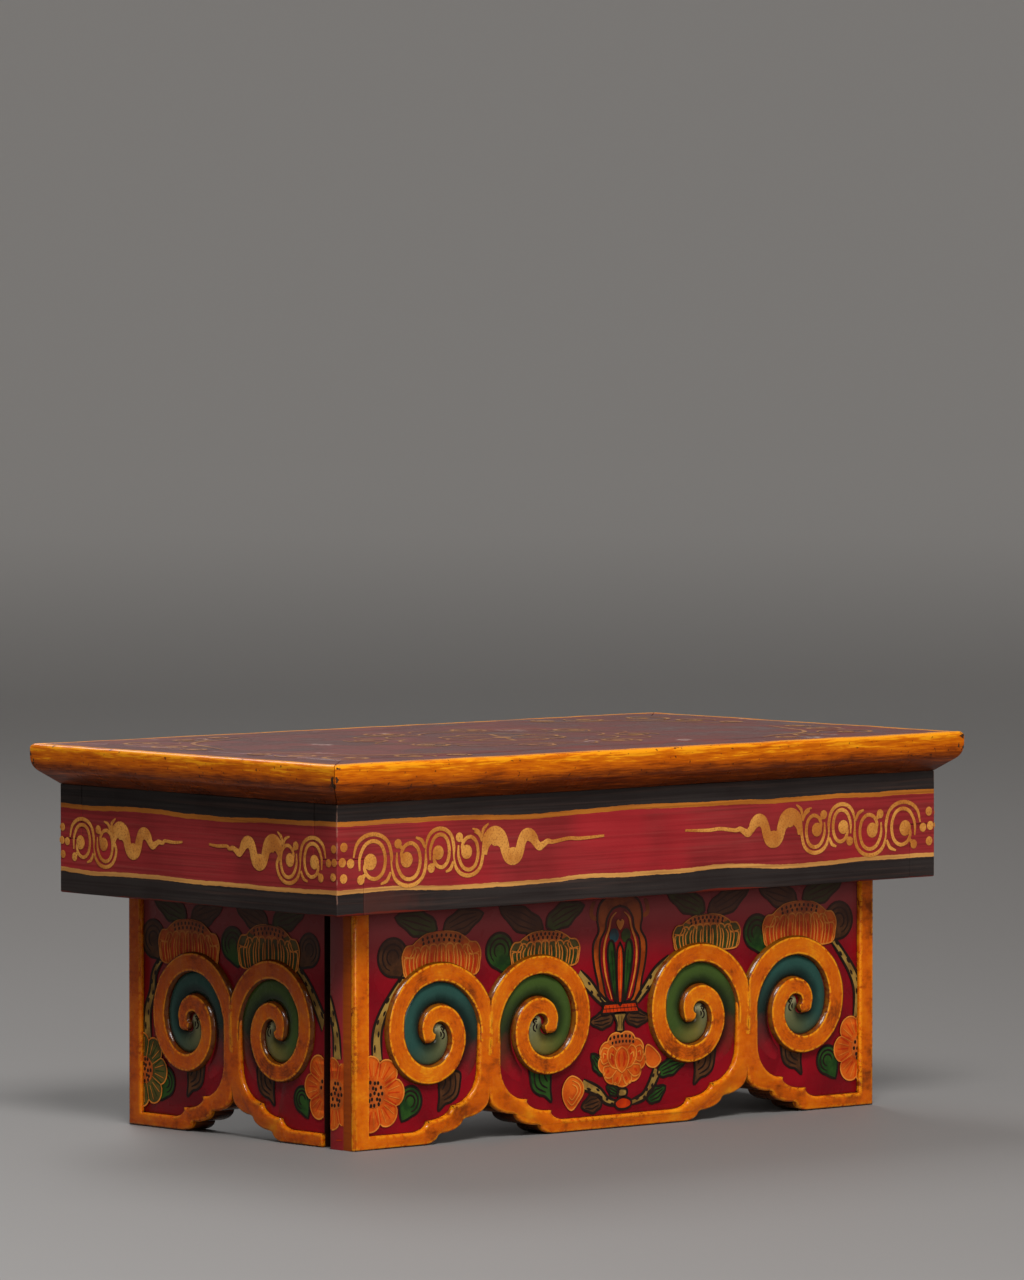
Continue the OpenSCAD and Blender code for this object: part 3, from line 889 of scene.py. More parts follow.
def carved_orange(name, edged, tone):
    """Orange over the carving, rubbed yellow at the arrises that is also a painted highlight; brown glaze
    with painted shade along the edges, and painted shade in the corners.
    """
    paint = Paint(name)
    at = panel_place(paint)
    cloud = at.grain(44, 4)
    speck = at.grain(420)
    # The rim finds the carving's arrises; they get rubbed yellow lines, which are also painted highlights.
    rim = in_corners(paint, 1.8 * MM, True).sway(cloud, 0.3)
    if edged:
        along = paint.place("UV")
        side = abs(along.parts()[1] - 0.5).sway(cloud, 0.06)
        # Dark glaze along a band's edges, also painted shade where the band meets the ground.
        glaze_and_edge_shade = side.between(0.385, 0.425, 0.85)
        rim = rim.least(side.between(0.36, 0.31))
        brushed = along.grain((70, 9, 1), 5, 0.65)
    else:
        # Dark glaze along the arrises of border and stems, also painted shade that makes them look rounded.
        glaze_and_edge_shade = rim.between(0.64, 0.46, 0.9)
        brushed = at.grain((90, 90, 260), 4, 0.6)
    mixed = cloud.sway(speck, 0.25).sway(brushed, 0.5).sway(cloud, 0.3)
    colour = mixed.ramp([(0.24, glaze_brown), (0.45, panel_orange), (0.68, panel_light),
                         (0.9, rubbed_highlight_yellow)])
    # Rubbed yellow on the arrises: wear, and a painted highlight.
    rubbed_rim_highlight = rim.between(0.95, 0.78) * speck.between(0.4, 0.52, 0.9)
    colour = rubbed_rim_highlight.mix(colour, rubbed_highlight_yellow)
    colour = glaze_and_edge_shade.mix(colour, glaze_and_shade_dark)
    # Painted shade in the corners of the carving; then the panel's tone, which darkens the side panels as
    # painted shade.
    colour = in_corners(paint).between(0.3, 0.8).mix(srgb(46, 18, 8), colour).times(tone)
    height = speck + cloud + brushed
    return paint.varnish(colour, cloud.between(0.0, 1.0, 0.5), height, 0.22 * MM, 0.3, 0.08)


ground_red = srgb(132, 8, 22)
ground_deep = srgb(96, 8, 18)


def panel_ground_paint(panel):
    """Red in the carved field, with painted shade and haze towards the top and painted shade in the corners;
    brown on the sawn edges, bare behind.

    A panel with two stiles has painted ends; the others' ends are painted near black, a painted shade like
    the dark gap where a side panel meets the front.
    """
    paint = Paint(panel["name"] + "_ground_paint")
    at = panel_place(paint)
    x, y, z = at.parts()
    cloud = at.grain(26, 4)
    streak = at.grain((30, 30, 500), 4)
    red = cloud.ramp([(0.32, ground_deep), (0.62, ground_red)])
    # Towards the top the red turns duller and hazier: painted shade under the apron and a painted haze of
    # reflected light.
    red = z.between(78 * MM, 112 * MM, 0.8).mix(red, srgb(122, 58, 58))
    # Painted shade in the corners of the carving.
    red = in_corners(paint).between(0.2, 0.75).mix(srgb(40, 10, 12), red)
    sawn = streak.between(0.4, 0.65).mix(srgb(58, 26, 16), srgb(110, 58, 20))
    wood = streak.ramp([(0.35, srgb(82, 52, 30)), (0.6, bare_board)])
    colour = (y > (relief + 0.05) * MM).mix(red, sawn)
    if panel["right_stile"]:
        edge = streak.mix(srgb(120, 46, 10), srgb(168, 76, 14))
        # The front panel's end face is duller towards the top: painted shade under the apron.
        plum_end = z.between(40 * MM, 100 * MM).mix(srgb(162, 36, 40), srgb(118, 52, 52))
        ends = y.sway(cloud, 2 * MM).between(8 * MM, 9.4 * MM).mix(edge, plum_end)
    else:
        # Near-black ends on the side panels: painted shade, like the dark gap where a side panel meets the
        # front panel.
        ends = streak.mix(srgb(26, 12, 10), srgb(46, 22, 14))
    colour = (abs(x) > (panel["half"] - 0.3) * MM).mix(colour, ends)
    colour = (y > (panel["thick"] - 0.4) * MM).mix(colour, wood)
    return paint.varnish(colour, cloud.between(0.0, 1.0, 0.6), streak + cloud, 0.1 * MM, 0.15)


def hollow_paint(name, rich, deep, eye):
    """The hollows between the turns: a deep colour that runs out of the eye and ends in red, with painted
    shade along the inner side and in the corners.
    """
    paint = Paint(name)
    cloud = panel_place(paint).grain(110, 4)
    along, across = paint.place("UV").parts()[:2]
    run = along.sway(cloud, 0.06).ramp([
        (0.1, srgb(132, 126, 92)), (0.2, srgb(100, 98, 64)), (0.31, eye), (0.44, rich), (0.72, rich),
        (0.81, deep), (0.9, ground_red)])
    # Darker along one side of each hollow: painted shade beside the inner turn of the band.
    colour = across.sway(cloud, 0.3).between(0.6, 0.15).mix(run, run.times(srgb(150, 150, 150)))
    # Painted shade in the corners beside the bands.
    colour = in_corners(paint).between(0.15, 0.6).mix(srgb(24, 20, 16), colour)
    return paint.varnish(colour, cloud.between(0.0, 1.0, 0.5), cloud)


def eye_ink_paint():
    paint = Paint("eye_ink_paint")
    speck = panel_place(paint).grain(300, 2)
    colour = speck.mix(srgb(20, 14, 12), srgb(36, 26, 20))
    return paint.varnish(colour, speck.between(-2.0, 1.0), speck, 0.04 * MM, 0.0)


eye_ink = eye_ink_paint()
eye_rise = 1.4
eye_flat = 0.5
eye_marks = (((4, 3, 0.5), (5.4, 3.4, 0.9), (6.4, 2.2, 0.9), (5.4, 1, 0.8), (6.4, -0.2, 0.9), (6.2, -2, 0.9),
              (4.8, -2.8, 0.5)),
             ((4, 0.8, 0.6), (4.5, -0.4, 1.1), (4.2, -1.6, 0.6)), ((4.6, 2.4, 0.6), (4.9, 1.8, 0.9)))
# Tones for the panels' carving: the front's nearly white, the sides' darker as painted shade, for side
# panels that stand back under the apron away from the light.
front_lit_tone = srgb(250, 250, 250)
side_shade_tone = srgb(226, 214, 214)
teal_hollow = hollow_paint("teal_hollow_paint", srgb(36, 68, 60), srgb(28, 40, 34), srgb(74, 80, 52))
green_hollow = hollow_paint("green_hollow_paint", srgb(56, 74, 28), srgb(40, 44, 22), srgb(108, 98, 44))


def on_field(height):
    """Stands a flat drawing upright, at a height over the carved ground."""
    return Matrix.Translation((0, (relief - height) * MM, 0)) @ turned("X", 90)


def carve(panel):
    """The carved wood of a panel: ground, border, stems, volutes and the rolls in their hollows."""
    name, squeeze = panel["name"], panel["squeeze"]
    ground = outline_mesh(name + "_ground", in_metres(panel_outline(panel)))
    push_out((panel["thick"] - relief) * MM)
    put(ground, Matrix.Translation((0, relief * MM, 0)))
    soften(ground, panel_arris)
    smooth()
    panel_piece(ground, panel, panel_ground_paint(panel))
    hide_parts(panel["node"])
    border = outline_mesh(name + "_border", in_metres(border_outline(panel)))
    push_out((relief + sunk) * MM)
    pick(border, "EDGE", lambda edge: all(border.data.vertices[i].co.y < 0.01 * MM for i in edge.vertices))
    bpy.ops.mesh.bevel(offset=border_round * MM, segments=4, affect="EDGES")
    mode("OBJECT")
    smooth(50)
    panel_piece(border, panel, carved_orange(name + "_border_paint", False, panel["tone"]))
    orange_volute = carved_orange(name + "_volute_paint", True, panel["tone"])
    for i, axis in enumerate(panel["arches"]):
        for way, hollow in zip((-1, 1), panel["hollows"][i]):
            at = Matrix.Translation(((axis + way * scroll_reach * squeeze) * MM, 0, scroll_z * MM))
            at = at @ Matrix.Diagonal((-way * squeeze, 1, 1, 1))
            label = "%s_%d%s" % (name, i + 1, "a" if way < 0 else "b")
            volute = strip_mesh(label + "_volute", 150, 14, volute_band)
            make_uneven(volute, 0.8 * MM, 9 * MM)
            smooth(80)
            panel_piece(volute, panel, orange_volute, at)
            roll = strip_mesh(label + "_hollow", 104, 10, hollow_roll)
            make_uneven(roll, 0.4 * MM, 10 * MM)
            smooth(80)
            panel_piece(roll, panel, hollow, at)
            marks = paint_film(label + "_eye", [flowing(line, False, 4) for line in eye_marks], [], eye_flat)
            smooth(60)
            panel_piece(marks, panel, eye_ink, at @ on_field(eye_rise))


front = {
    "name": "front", "node": "panel_front", "body": "front_leg", "squeeze": 1,
    "half": front_high.x / MM, "height": front_high.z / MM, "thick": (front_high.y - front_low.y) / MM,
    "arches": (-arch_at, arch_at), "right_stile": True,
    "hollows": ((teal_hollow, green_hollow), (green_hollow, teal_hollow)), "tone": front_lit_tone,
    "matrix": Matrix.Translation((0, front_low.y, 0)),
}
carve(front)

# Side panels
# Thinner planks with one arch each, carved and painted like the front. A stile stands only at
# the rear; in front the field runs out to the edge, where it meets the front panel.
side_low, side_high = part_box("panel_left")
side_middle = (side_low.y + side_high.y) / 2
arch_shift = 6
left = {
    "name": "left", "node": "panel_left", "body": "left_leg", "squeeze": 0.92,
    "half": (side_high.y - side_low.y) / 2 / MM, "height": side_high.z / MM,
    "thick": (side_high.x - side_low.x) / MM,
    "arches": (arch_shift,), "right_stile": False,
    "hollows": ((teal_hollow, green_hollow),), "tone": side_shade_tone,
    "matrix": Matrix.Translation((side_low.x, side_middle, 0)) @ turned("Z", -90),
}
right = dict(left, name="right", node="panel_right", body="right_leg",
             matrix=Matrix.Diagonal((-1, 1, 1, 1)) @ left["matrix"])
carve(left)
carve(right)

# Painted flowers on the panels
# Lotuses over the volutes, half rosettes at the stiles, leaves and vines, brushed on the red
# ground in thin oil colours. Leaves and vines have ink outlines, the flowers gilt ones.
film_lift = 0.05
film_step = 0.04
end_step = 0.02
film_flat = 0.08
ink_w = 1.25
gilt_w = 0.75
vine_w = 6.4
vine_ink = 1.5
streak_w = 1.5
rosette_petals = 7
ink_dark = srgb(26, 17, 14)
paint_layers = {
    "halo_brown": (srgb(172, 76, 14), srgb(128, 48, 10)),
    "field_red": (srgb(146, 10, 22), srgb(104, 8, 18)),
    "leaf_green": (srgb(40, 72, 24), srgb(22, 48, 18)),
    "leaf_brown": (srgb(84, 50, 26), srgb(54, 32, 18)),
    "vine_cream": (srgb(154, 120, 56), srgb(112, 82, 36)),
    "ink_under": (ink_dark, srgb(34, 22, 16)),
    "petal_orange": (srgb(200, 88, 18), srgb(170, 62, 10)),
    "petal_olive": (srgb(90, 78, 32), srgb(62, 58, 24)),
    "petal_red": (srgb(192, 56, 6), srgb(160, 38, 6)),
    "petal_green": (srgb(42, 62, 20), srgb(26, 44, 18)),
    "bulb_teal": (srgb(24, 72, 80), srgb(16, 46, 52)),
    "seed_bed": (srgb(186, 92, 30), srgb(152, 66, 22)),
    "ink": (ink_dark, srgb(34, 22, 16)),
    "gilt": (srgb(212, 126, 46), srgb(180, 96, 30)),
}
orange_flower = ("petal_orange", "petal_red")
olive_flower = ("petal_olive", "petal_green")


class Brushwork:
    """The paint on one panel, kept by colour. Motifs are drawn outwards from a stem's axis."""

    def __init__(self, low, high):
        self.low = low
        self.high = high
        self.strokes = {colour: [] for colour in paint_layers}
        self.patches = {colour: [] for colour in paint_layers}
        self.stand(0)

    def stand(self, axis, run=1, lift=0):
        """Says where the next motifs start, which way and how wide they run and how high they sit."""
        self.axis = axis
        self.run = run
        self.lift = lift

    def fill(self, colour, outline, edge=None):
        spots = moved(outline, self.axis, self.lift, self.run)
        self.patches[colour].append([(min(max(x, self.low), self.high), z) for x, z in spots])
        if edge:
            self.line(edge, list(outline) + [outline[0]], gilt_w if edge == "gilt" else ink_w, False)

    def blob(self, colour, points, edge=None):
        """Fills a flowing outline."""
        self.fill(colour, flowing(points, True, 4), edge)

    def line(self, colour, points, width, tapered=True):
        """Draws a line; only the stretches of it that lie on the panel are kept."""
        stretch = []
        for k, (x, z) in enumerate(points):
            end = min(k, len(points) - 1 - k) / max(1, len(points) - 1)
            full = width * min(1, 0.45 + 3 * end) if tapered else width
            spot = (self.axis + self.run * x, z + self.lift, full)
            if self.low < spot[0] < self.high:
                stretch.append(spot)
            elif stretch:
                self.keep(colour, stretch)
                stretch = []
        self.keep(colour, stretch)

    def sweep(self, colour, points, width, steps=6):
        """Draws a flowing line."""
        self.line(colour, flowing(points, False, steps), width)

    def keep(self, colour, stretch):
        if len(stretch) > 1:
            self.strokes[colour].append(stretch)

    def dot(self, colour, x, z, radius, tall):
        ring = [polar(0, 0, radius, math.radians(a)) for a in range(0, 360, 40)]
        if self.low + radius < self.axis + self.run * x < self.high - radius:
            self.fill(colour, moved(ring, x, z, 1, tall))


def both_sides(half):
    """A closed outline from the points of its right half, top to bottom."""
    return half + [(-x, z) for x, z in reversed(half)]


def lotus(work, x, z, wide, high, petal, streak):
    """A lotus seen from the side: a cup of comb-lined petals under a dotted seed head."""
    at = x, z, wide, high
    cup = [(0, 12), (9.5, 10.9), (15.5, 8), (18.6, 5.8), (22.6, 5.2), (25.2, 1), (24.8, -4), (22.4, -10),
           (10, -11)]
    body = moved(flowing(both_sides(cup), True, 4), *at)
    work.fill(petal, body)
    for i in range(-9, 9):
        a = 2.5 * (i + 0.5)
        work.line(streak, moved([(a, -10), (1.03 * a, -4), (0.97 * a, 1.5)], *at), streak_w)
    head = both_sides([(0, 11.6), (9.5, 10.4), (16, 7.6), (9, 5.2), (0, 4.6)])
    work.blob("seed_bed", moved(head, *at))
    work.line("gilt", body[3:-4], gilt_w)
    for i in range(-9, 10):
        a = 2.55 * i + 0.5 * math.sin(2.3 * i)
        top = 4.2 + 1.3 * math.cos(1.7 * i) - 0.006 * a * a
        comb = [(0.9 * a, top), (1.02 * a, -1), (a, -6), (0.93 * a, -10.5)]
        work.sweep("gilt", moved(comb, *at), gilt_w, 3)
    for i in range(-3, 4):
        a = 5.4 * i
        lobe = [(a - 2.7, 3.2), (a - 2, 5.1), (a, 5.9), (a + 2, 5.1), (a + 2.7, 3.2)]
        lobe = [(p, q - 0.005 * p * p) for p, q in lobe]
        work.sweep("gilt", moved(lobe, *at), gilt_w, 3)
    for side in (-1, 1):
        lobe = [(18, 6), (16.6, 2.4), (19, -0.4), (24.4, 0.6)]
        work.sweep("gilt", moved(lobe, x, z, side * wide, high), gilt_w)
    for row, (level, step) in enumerate(((9.8, 3.0), (7.6, 3.3))):
        for i in range(-4, 5):
            a = step * (i + 0.5 * row)
            if abs(a) < 13.5:
                work.dot("ink", x + wide * a, z + high * (level - 0.011 * a * a), 0.72, 1.25)


def rosette(work, x, z, radius, petal, streak, seed=0.36):
    """A flower seen from the front, with a dotted seed head; a stile covers half of it."""
    step = 2 * math.pi / rosette_petals

    def ray(share, angle):
        return polar(x, z, share * radius, angle)

    work.fill(petal, [ray(0.8 + 0.2 * abs(math.sin(math.pi * k / 10)) ** 0.7, step * k / 10)
                      for k in range(10 * rosette_petals)], "gilt")
    for p in range(rosette_petals):
        for k in range(-2, 3):
            a = step * (p + 0.5 + 0.17 * k)
            work.line("gilt" if k % 2 else streak, [ray(0.46, a), ray(0.86, a + 0.05 * k)],
                      gilt_w if k % 2 else streak_w)
        work.line("gilt", [ray(seed, step * p), ray(0.8, step * p)], gilt_w)
    work.fill("seed_bed", [ray(seed, math.radians(a)) for a in range(0, 360, 20)])
    rows = int(seed * radius / 2.6)
    for i in range(-rows, rows + 1):
        for j in range(-rows, rows + 1):
            a = 2.5 * (i + 0.5 * (j % 2))
            if math.hypot(a, 2.7 * j) < seed * radius - 0.6:
                a += 0.4 * math.sin(5 * j + 3 * i)
                work.dot("ink", x + a, z + 2.7 * j + 0.4 * math.cos(4 * i + j), 0.85, 1.2)


def beside(spine, share):
    """The line along a spine at a share of its half width."""
    return [(x + share * p, z + share * q) for x, z, p, q in spine]


def leaf(work, x, z, length, width, angle, turn, colour):
    """A pointed leaf from its base, with an ink outline and veins along it."""
    spine = []
    steps = 12
    for k in range(steps + 1):
        t = k / steps
        bend = math.radians(angle + turn * t)
        wavy = 1 + 0.1 * math.sin(15 * t)
        half = width / 2 * wavy * math.sin(math.pi * min(1, t ** 0.8)) ** 0.75
        spine.append((x, z, -half * math.sin(bend), half * math.cos(bend)))
        x += length / steps * math.cos(bend)
        z += length / steps * math.sin(bend)
    work.fill(colour, beside(spine, 1) + beside(spine[-2:0:-1], -1), "ink_under")
    for share in (-0.5, 0, 0.5):
        work.line("ink_under", beside(spine[2:-2], share), 0.8)


def curled_leaf(work, x, z, radius, tip, reach, colour, spin=1):
    """A leaf rolled up like a comma: round, with a tip, and inked arcs inside."""
    edge = []
    for k in range(36):
        off = abs((10 * k - tip + 180) % 360 - 180)
        r = radius * (1 + reach * max(0, 1 - off / 42) ** 1.6)
        edge.append(polar(x, z, r, math.radians(10 * k)))
    work.fill(colour, edge, "ink_under")
    for share in (0.7, 0.4):
        arc = [polar(x, z, share * radius, math.radians(tip + spin * (35 + 22 * k))) for k in range(13)]
        work.line("ink_under", arc, 1)


def hook_leaf(work, x, z, colour):
    """A leaf that hangs out from under a volute, its tip hooked outwards."""
    edge = [(-6, 9), (-6.6, 3), (-5, -2.5), (-1, -5.4), (3, -6.4), (7.4, -9.4), (6.8, -3), (7, 3), (6, 9)]
    work.blob(colour, moved(edge, x, z), "ink_under")
    for vein in ([(-3.4, 8), (-3.8, 2.5), (-2, -1.8), (3.8, -4.4)],
                 [(0, 8), (-0.6, 3), (1, -0.4), (4.8, -2.4)], [(3.2, 8), (2.8, 4), (4.8, 0.8)]):
        work.sweep("ink_under", moved(vein, x, z), 1)


def vine(work, points, width):
    """A cream stem with ink along both edges and dashes on it."""
    line = flowing(points, False, 8)
    spine = []
    for k, (x, z) in enumerate(line):
        a = line[max(0, k - 1)]
        b = line[min(len(line) - 1, k + 1)]
        long = math.hypot(b[0] - a[0], b[1] - a[1])
        half = width / 2 * (0.45 + 0.55 * k / len(line))
        spine.append((x, z, (a[1] - b[1]) / long * half, (b[0] - a[0]) / long * half))
    work.fill("vine_cream", beside(spine, 1) + beside(spine[::-1], -1))
    for share in (1, -1):
        work.line("ink_under", beside(spine, share), vine_ink)
    for k in range(3, len(spine) - 4, 4):
        work.line("ink_under", beside(spine[k:k + 3], 0.45 if k % 8 == 3 else -0.3), vine_ink)


def outer_half(work, flower, curl_at, foot_at):
    """The field outside a volute: a big lotus, a curled leaf, and a vine down to a half rosette."""
    lotus(work, 33.5, 92, 1, 1, *orange_flower)
    curled_leaf(work, curl_at, 92.5, 9.4, 225, 0.5, "leaf_brown", -1)
    vine(work, [(56, 84), (63, 76), (foot_at - 6, 66), (foot_at - 2, 56), (foot_at - 2, 43)], vine_w)
    rosette(work, foot_at, 27, 18.8, *flower)
    curled_leaf(work, 53.5, 22, 7.4, 300, 0.5, "leaf_green", -1)
    hook_leaf(work, 28, 25.5, "leaf_brown")
    leaf(work, 36, 104.5, 28, 12.5, 18, -6, "leaf_green")
    leaf(work, 32, 103.5, 27, 12, 160, 8, "leaf_brown")


def inner_half(work, under, lotus_at):
    """The field towards the middle: a green lotus, and a leaf under the volute."""
    lotus(work, lotus_at, 91, 0.9, 0.8, *olive_flower)
    leaf(work, lotus_at + 1, 102, 27, 12, 28, -16, "leaf_green")
    leaf(work, lotus_at - 1, 101.5, 31, 12, 163, -12, "leaf_brown")
    hook_leaf(work, 31, 25, under)


def centre_motif(work):
    """The middle of the front: a flame halo round leaves and a bud, on a small pedestal."""
    halo = [(0, 116), (8, 115), (13.5, 111), (15, 104), (14, 98), (17.5, 92), (17.5, 84), (15, 74),
            (10.5, 62.5)]
    work.blob("halo_brown", both_sides(halo), "ink_under")
    arch = [(0, 110), (5, 108.5), (8.5, 104), (9.6, 98.5), (13, 93), (13.4, 84), (11.4, 74), (7, 63)]
    work.blob("field_red", both_sides(arch), "ink_under")
    rib = [(5.6, 64), (9.6, 76), (11, 86), (10, 93), (7.4, 99), (6, 104), (2.6, 107)]
    flame = [(15, 104), (18.6, 106), (18.4, 110), (16.6, 113)]
    blade = [(3, 62), (6.4, 74), (8.4, 86), (7.2, 92.5), (4.4, 92), (3, 84), (2.4, 72)]
    for side in (-1, 1):
        work.sweep("gilt", moved(rib, 0, 0, side), 1.2)
        work.sweep("halo_brown", moved(flame, 0, 0, side), 2.6)
        work.blob("leaf_green", moved(blade, 0, 0, side), "ink")
        work.line("ink", [(side * 3.4, 65), (side * 5.6, 88)], 0.6)
    work.blob("petal_red", both_sides([(0, 91.5), (1.8, 88), (2.2, 78), (1.6, 66), (0.8, 61.5)]), "ink")
    work.line("gilt", [(0, 64), (0, 88)], 0.6)
    work.dot("bulb_teal", -4, 95.6, 3.3, 1.1)
    work.dot("petal_green", 4, 95.2, 3.3, 1.1)
    bud = [(0, 98), (2.6, 101.6), (1.4, 103.4), (0, 102.4), (-1.4, 103.4), (-2.6, 101.6)]
    work.fill("gilt", flowing(bud, True, 3))
    work.fill("petal_red", [(-12.5, 57), (-10.5, 61.8), (10.5, 61.8), (12.5, 57)], "ink")
    work.line("ink", [(-11.2, 59.4), (11.2, 59.4)], 0.7)
    for i in range(-4, 5):
        work.line("ink", [(2.4 * i, 60.8), (2.4 * i + 0.6, 57.8)], 0.55)
    leaf(work, -4, 55, 16, 8.4, 192, -14, "leaf_brown")
    leaf(work, 4, 55, 16, 8.4, -12, 14, "leaf_brown")
    work.blob("vine_cream", both_sides([(0, 57), (4.2, 56.5), (2.2, 52), (2.4, 48), (0, 47.5)]), "ink")
    work.line("ink", [(-1, 55.5), (-0.7, 49)], 0.6)
    work.line("ink", [(1.2, 55.5), (0.8, 49)], 0.6)


peony_petals = (((0, 0.4), (0.2, 0.28), (0.3, 0), (0.2, -0.3), (0, -0.46)),
                ((0.22, 0.26), (0.42, 0.44), (0.62, 0.3), (0.62, 0), (0.44, -0.24), (0.2, -0.32)),
                ((0.6, 0.36), (0.84, 0.4), (0.96, 0.14), (0.84, -0.12), (0.6, -0.06)),
                ((0.5, -0.2), (0.8, -0.24), (0.8, -0.52), (0.52, -0.6), (0.24, -0.36)),
                ((0.4, -0.52), (0.4, -0.78), (0.16, -0.82), (0, -0.5)),
                ((0.36, 0.12), (0.5, 0.2), (0.52, 0.02)), ((0.7, 0.18), (0.82, 0.22), (0.82, 0.06)))
peony_streaks = (((0.08, 0.24), (0.14, 0), (0.08, -0.26)), ((0.36, 0.3), (0.44, 0.06), (0.34, -0.16)),
                 ((0.72, 0.28), (0.76, 0.04)), ((0.56, -0.34), (0.68, -0.44)), ((0.16, -0.6), (0.24, -0.72)))


def peony(work, x, z, radius):
    """A round flower of overlapping lobes, with a dotted crown."""
    ring = []
    for k in range(100):
        a = 2 * math.pi * k / 100
        ring.append(polar(0, 0, radius * (0.86 + 0.14 * abs(math.cos(4.5 * a + 0.6)) ** 0.6), a))
    work.fill("petal_orange", moved(ring, x, z, 1.06, 0.92), "gilt")
    crown = both_sides([(0, 0.94), (0.4, 0.86), (0.62, 0.58), (0.3, 0.42), (0, 0.46)])
    work.blob("seed_bed", moved(crown, x, z, radius, radius))
    for i in range(-3, 4):
        work.dot("ink", x + 2.6 * i, z + radius * 0.76 - 0.1 * i * i, 0.8, 1.2)
        work.dot("ink", x + 2.3 * i + 0.6, z + radius * 0.58 - 0.06 * i * i, 0.7, 1.2)
    for side in (-1, 1):
        for petal in peony_petals:
            work.sweep("gilt", moved(petal, x, z, side * radius, radius), gilt_w)
        for streak in peony_streaks:
            work.sweep("petal_red", moved(streak, x, z, side * radius, radius), 1.3)


def middle_foot(work):
    """Peony, base bulb, vines and leaves under the pedestal."""
    vine(work, [(-9, 60.5), (-16, 66), (-22, 72), (-29, 77)], 6.6)
    vine(work, [(10, 62), (17, 69), (24, 76), (33, 81)], 6.6)
    vine(work, [(-3, 12), (-10, 14), (-16, 19), (-26, 23)], 5.4)
    vine(work, [(7, 12), (15, 14.5), (20, 20), (24, 27)], 5.4)
    leaf(work, -11, 27, 14, 8, 128, 6, "leaf_green")
    leaf(work, 24, 25, 20, 8.5, 22, -16, "leaf_green")
    leaf(work, 17, 12.5, 14, 8, 20, 12, "leaf_green")
    leaf(work, -13, 14.5, 14, 9, 196, -10, "leaf_brown")
    leaf(work, -2, 17, 9, 6, 150, 10, "leaf_green")
    work.blob("petal_orange", [(17, 40), (23, 36.5), (26, 32), (22, 28.5), (17, 30), (15.5, 35)], "gilt")
    peony(work, 0, 34, 15)
    work.blob("vine_cream", [(0, 19.5), (3.4, 18.5), (2.6, 15.5), (-2.2, 15.5), (-2.8, 18.5)], "ink")
    work.blob("petal_red", [(0, 15), (5.5, 13.6), (6, 10.6), (2, 9), (-3, 9.6), (-4.6, 12.6)], "ink")
    bud = [(-33, 27.5), (-27, 24.5), (-25.5, 19.5), (-28.5, 15), (-33.5, 10.6), (-38, 14.5), (-39.5, 20),
           (-37.5, 25)]
    work.blob("petal_orange", bud, "gilt")
    for share in (0.72, 0.45):
        work.sweep("gilt", moved(moved(bud[:-2], 33, -20), -33, 20, share, share), gilt_w)


def film_paint(colour, full, shade):
    """A thin oil colour, uneven as a brush leaves it, with painted shade and haze towards the top."""
    paint = Paint("paint_" + colour)
    at = panel_place(paint)
    streak = at.grain((260, 260, 700))
    mixed = at.grain(120, 4).between(0.36, 0.62).mix(shade, full)
    # Towards the top every colour turns dull: painted shade under the apron and a painted haze.
    mixed = at.parts()[2].between(82 * MM, 112 * MM, 0.66).mix(mixed, srgb(74, 50, 44))
    return paint.varnish(mixed, streak.between(-0.6, 1.0, 0.6), streak, 0.03 * MM, 0.12, 0.2)


film_paints = {colour: film_paint(colour, *pair) for colour, pair in paint_layers.items()}


def brush_on(work, panel, name, step=film_step, place=on_field):
    """Lays each colour as a film of its own, one over the other."""
    for i, colour in enumerate(paint_layers):
        strokes, patches = work.strokes[colour], work.patches[colour]
        if strokes or patches:
            film = paint_film("%s_%s" % (name, colour), strokes, patches, film_flat)
            smooth(60)
            panel_piece(film, panel, film_paints[colour], place(film_lift + step * i))


end_work = Brushwork(8.4, front["thick"] - 0.4)
rosette(end_work, 14.6, 27, 17.8, *orange_flower, 0.42)
vine(end_work, [(20, 76), (16.5, 66), (13.8, 56), (13, 44)], 6)
end_work.line("petal_red", [(9.5, 5), (14, 4.6)], 1.2)
for way, name in ((-1, "end_left"), (1, "end_right")):
    brush_on(end_work, front, name, end_step, lambda height: Matrix((
        (0, 0, way, way * (front["half"] + height) * MM), (1, 0, 0, 0), (0, 1, 0, 0), (0, 0, 0, 1))))

edge_room = 2
drift = 3.5
front_work = Brushwork(edge_room - front["half"], front["half"] - edge_room)
for axis, lift, curl_at, lotus_at in ((-arch_at, 0, 64.5, 34), (arch_at, 2.5, 61, 30)):
    out = 1 if axis > 0 else -1
    front_work.stand(axis + drift, out, lift)
    outer_half(front_work, orange_flower, curl_at, 76.5)
    front_work.stand(axis + drift, -out, lift)
    inner_half(front_work, "leaf_green" if axis < 0 else "leaf_brown", lotus_at)
    front_work.stand(axis + drift)
    curled_leaf(front_work, 4.5, 92, 8.9, -65, 0.45, "leaf_green")
front_work.stand(1.2)
centre_motif(front_work)
front_work.stand(2.4)
middle_foot(front_work)
brush_on(front_work, front, "front")
side_axis = arch_shift - 4
side_work = Brushwork(edge_room - left["half"], left["half"] - 0.4)
side_work.stand(side_axis, -left["squeeze"], 1)
outer_half(side_work, olive_flower, 64, 71)
side_work.stand(side_axis, left["squeeze"], 2)
lotus(side_work, 33, 92, 1, 1, *olive_flower)
curled_leaf(side_work, 66, 93, 8.2, 225, 0.5, "leaf_brown", -1)
vine(side_work, [(55, 85), (64, 77), (71, 68), (79, 56)], vine_w)
rosette(side_work, 81, 27, 18, *orange_flower)
curled_leaf(side_work, 60, 20, 6.4, 300, 0.6, "leaf_green", -1)
hook_leaf(side_work, 30, 25, "leaf_brown")
leaf(side_work, 36, 104, 27, 12, 18, -6, "leaf_green")
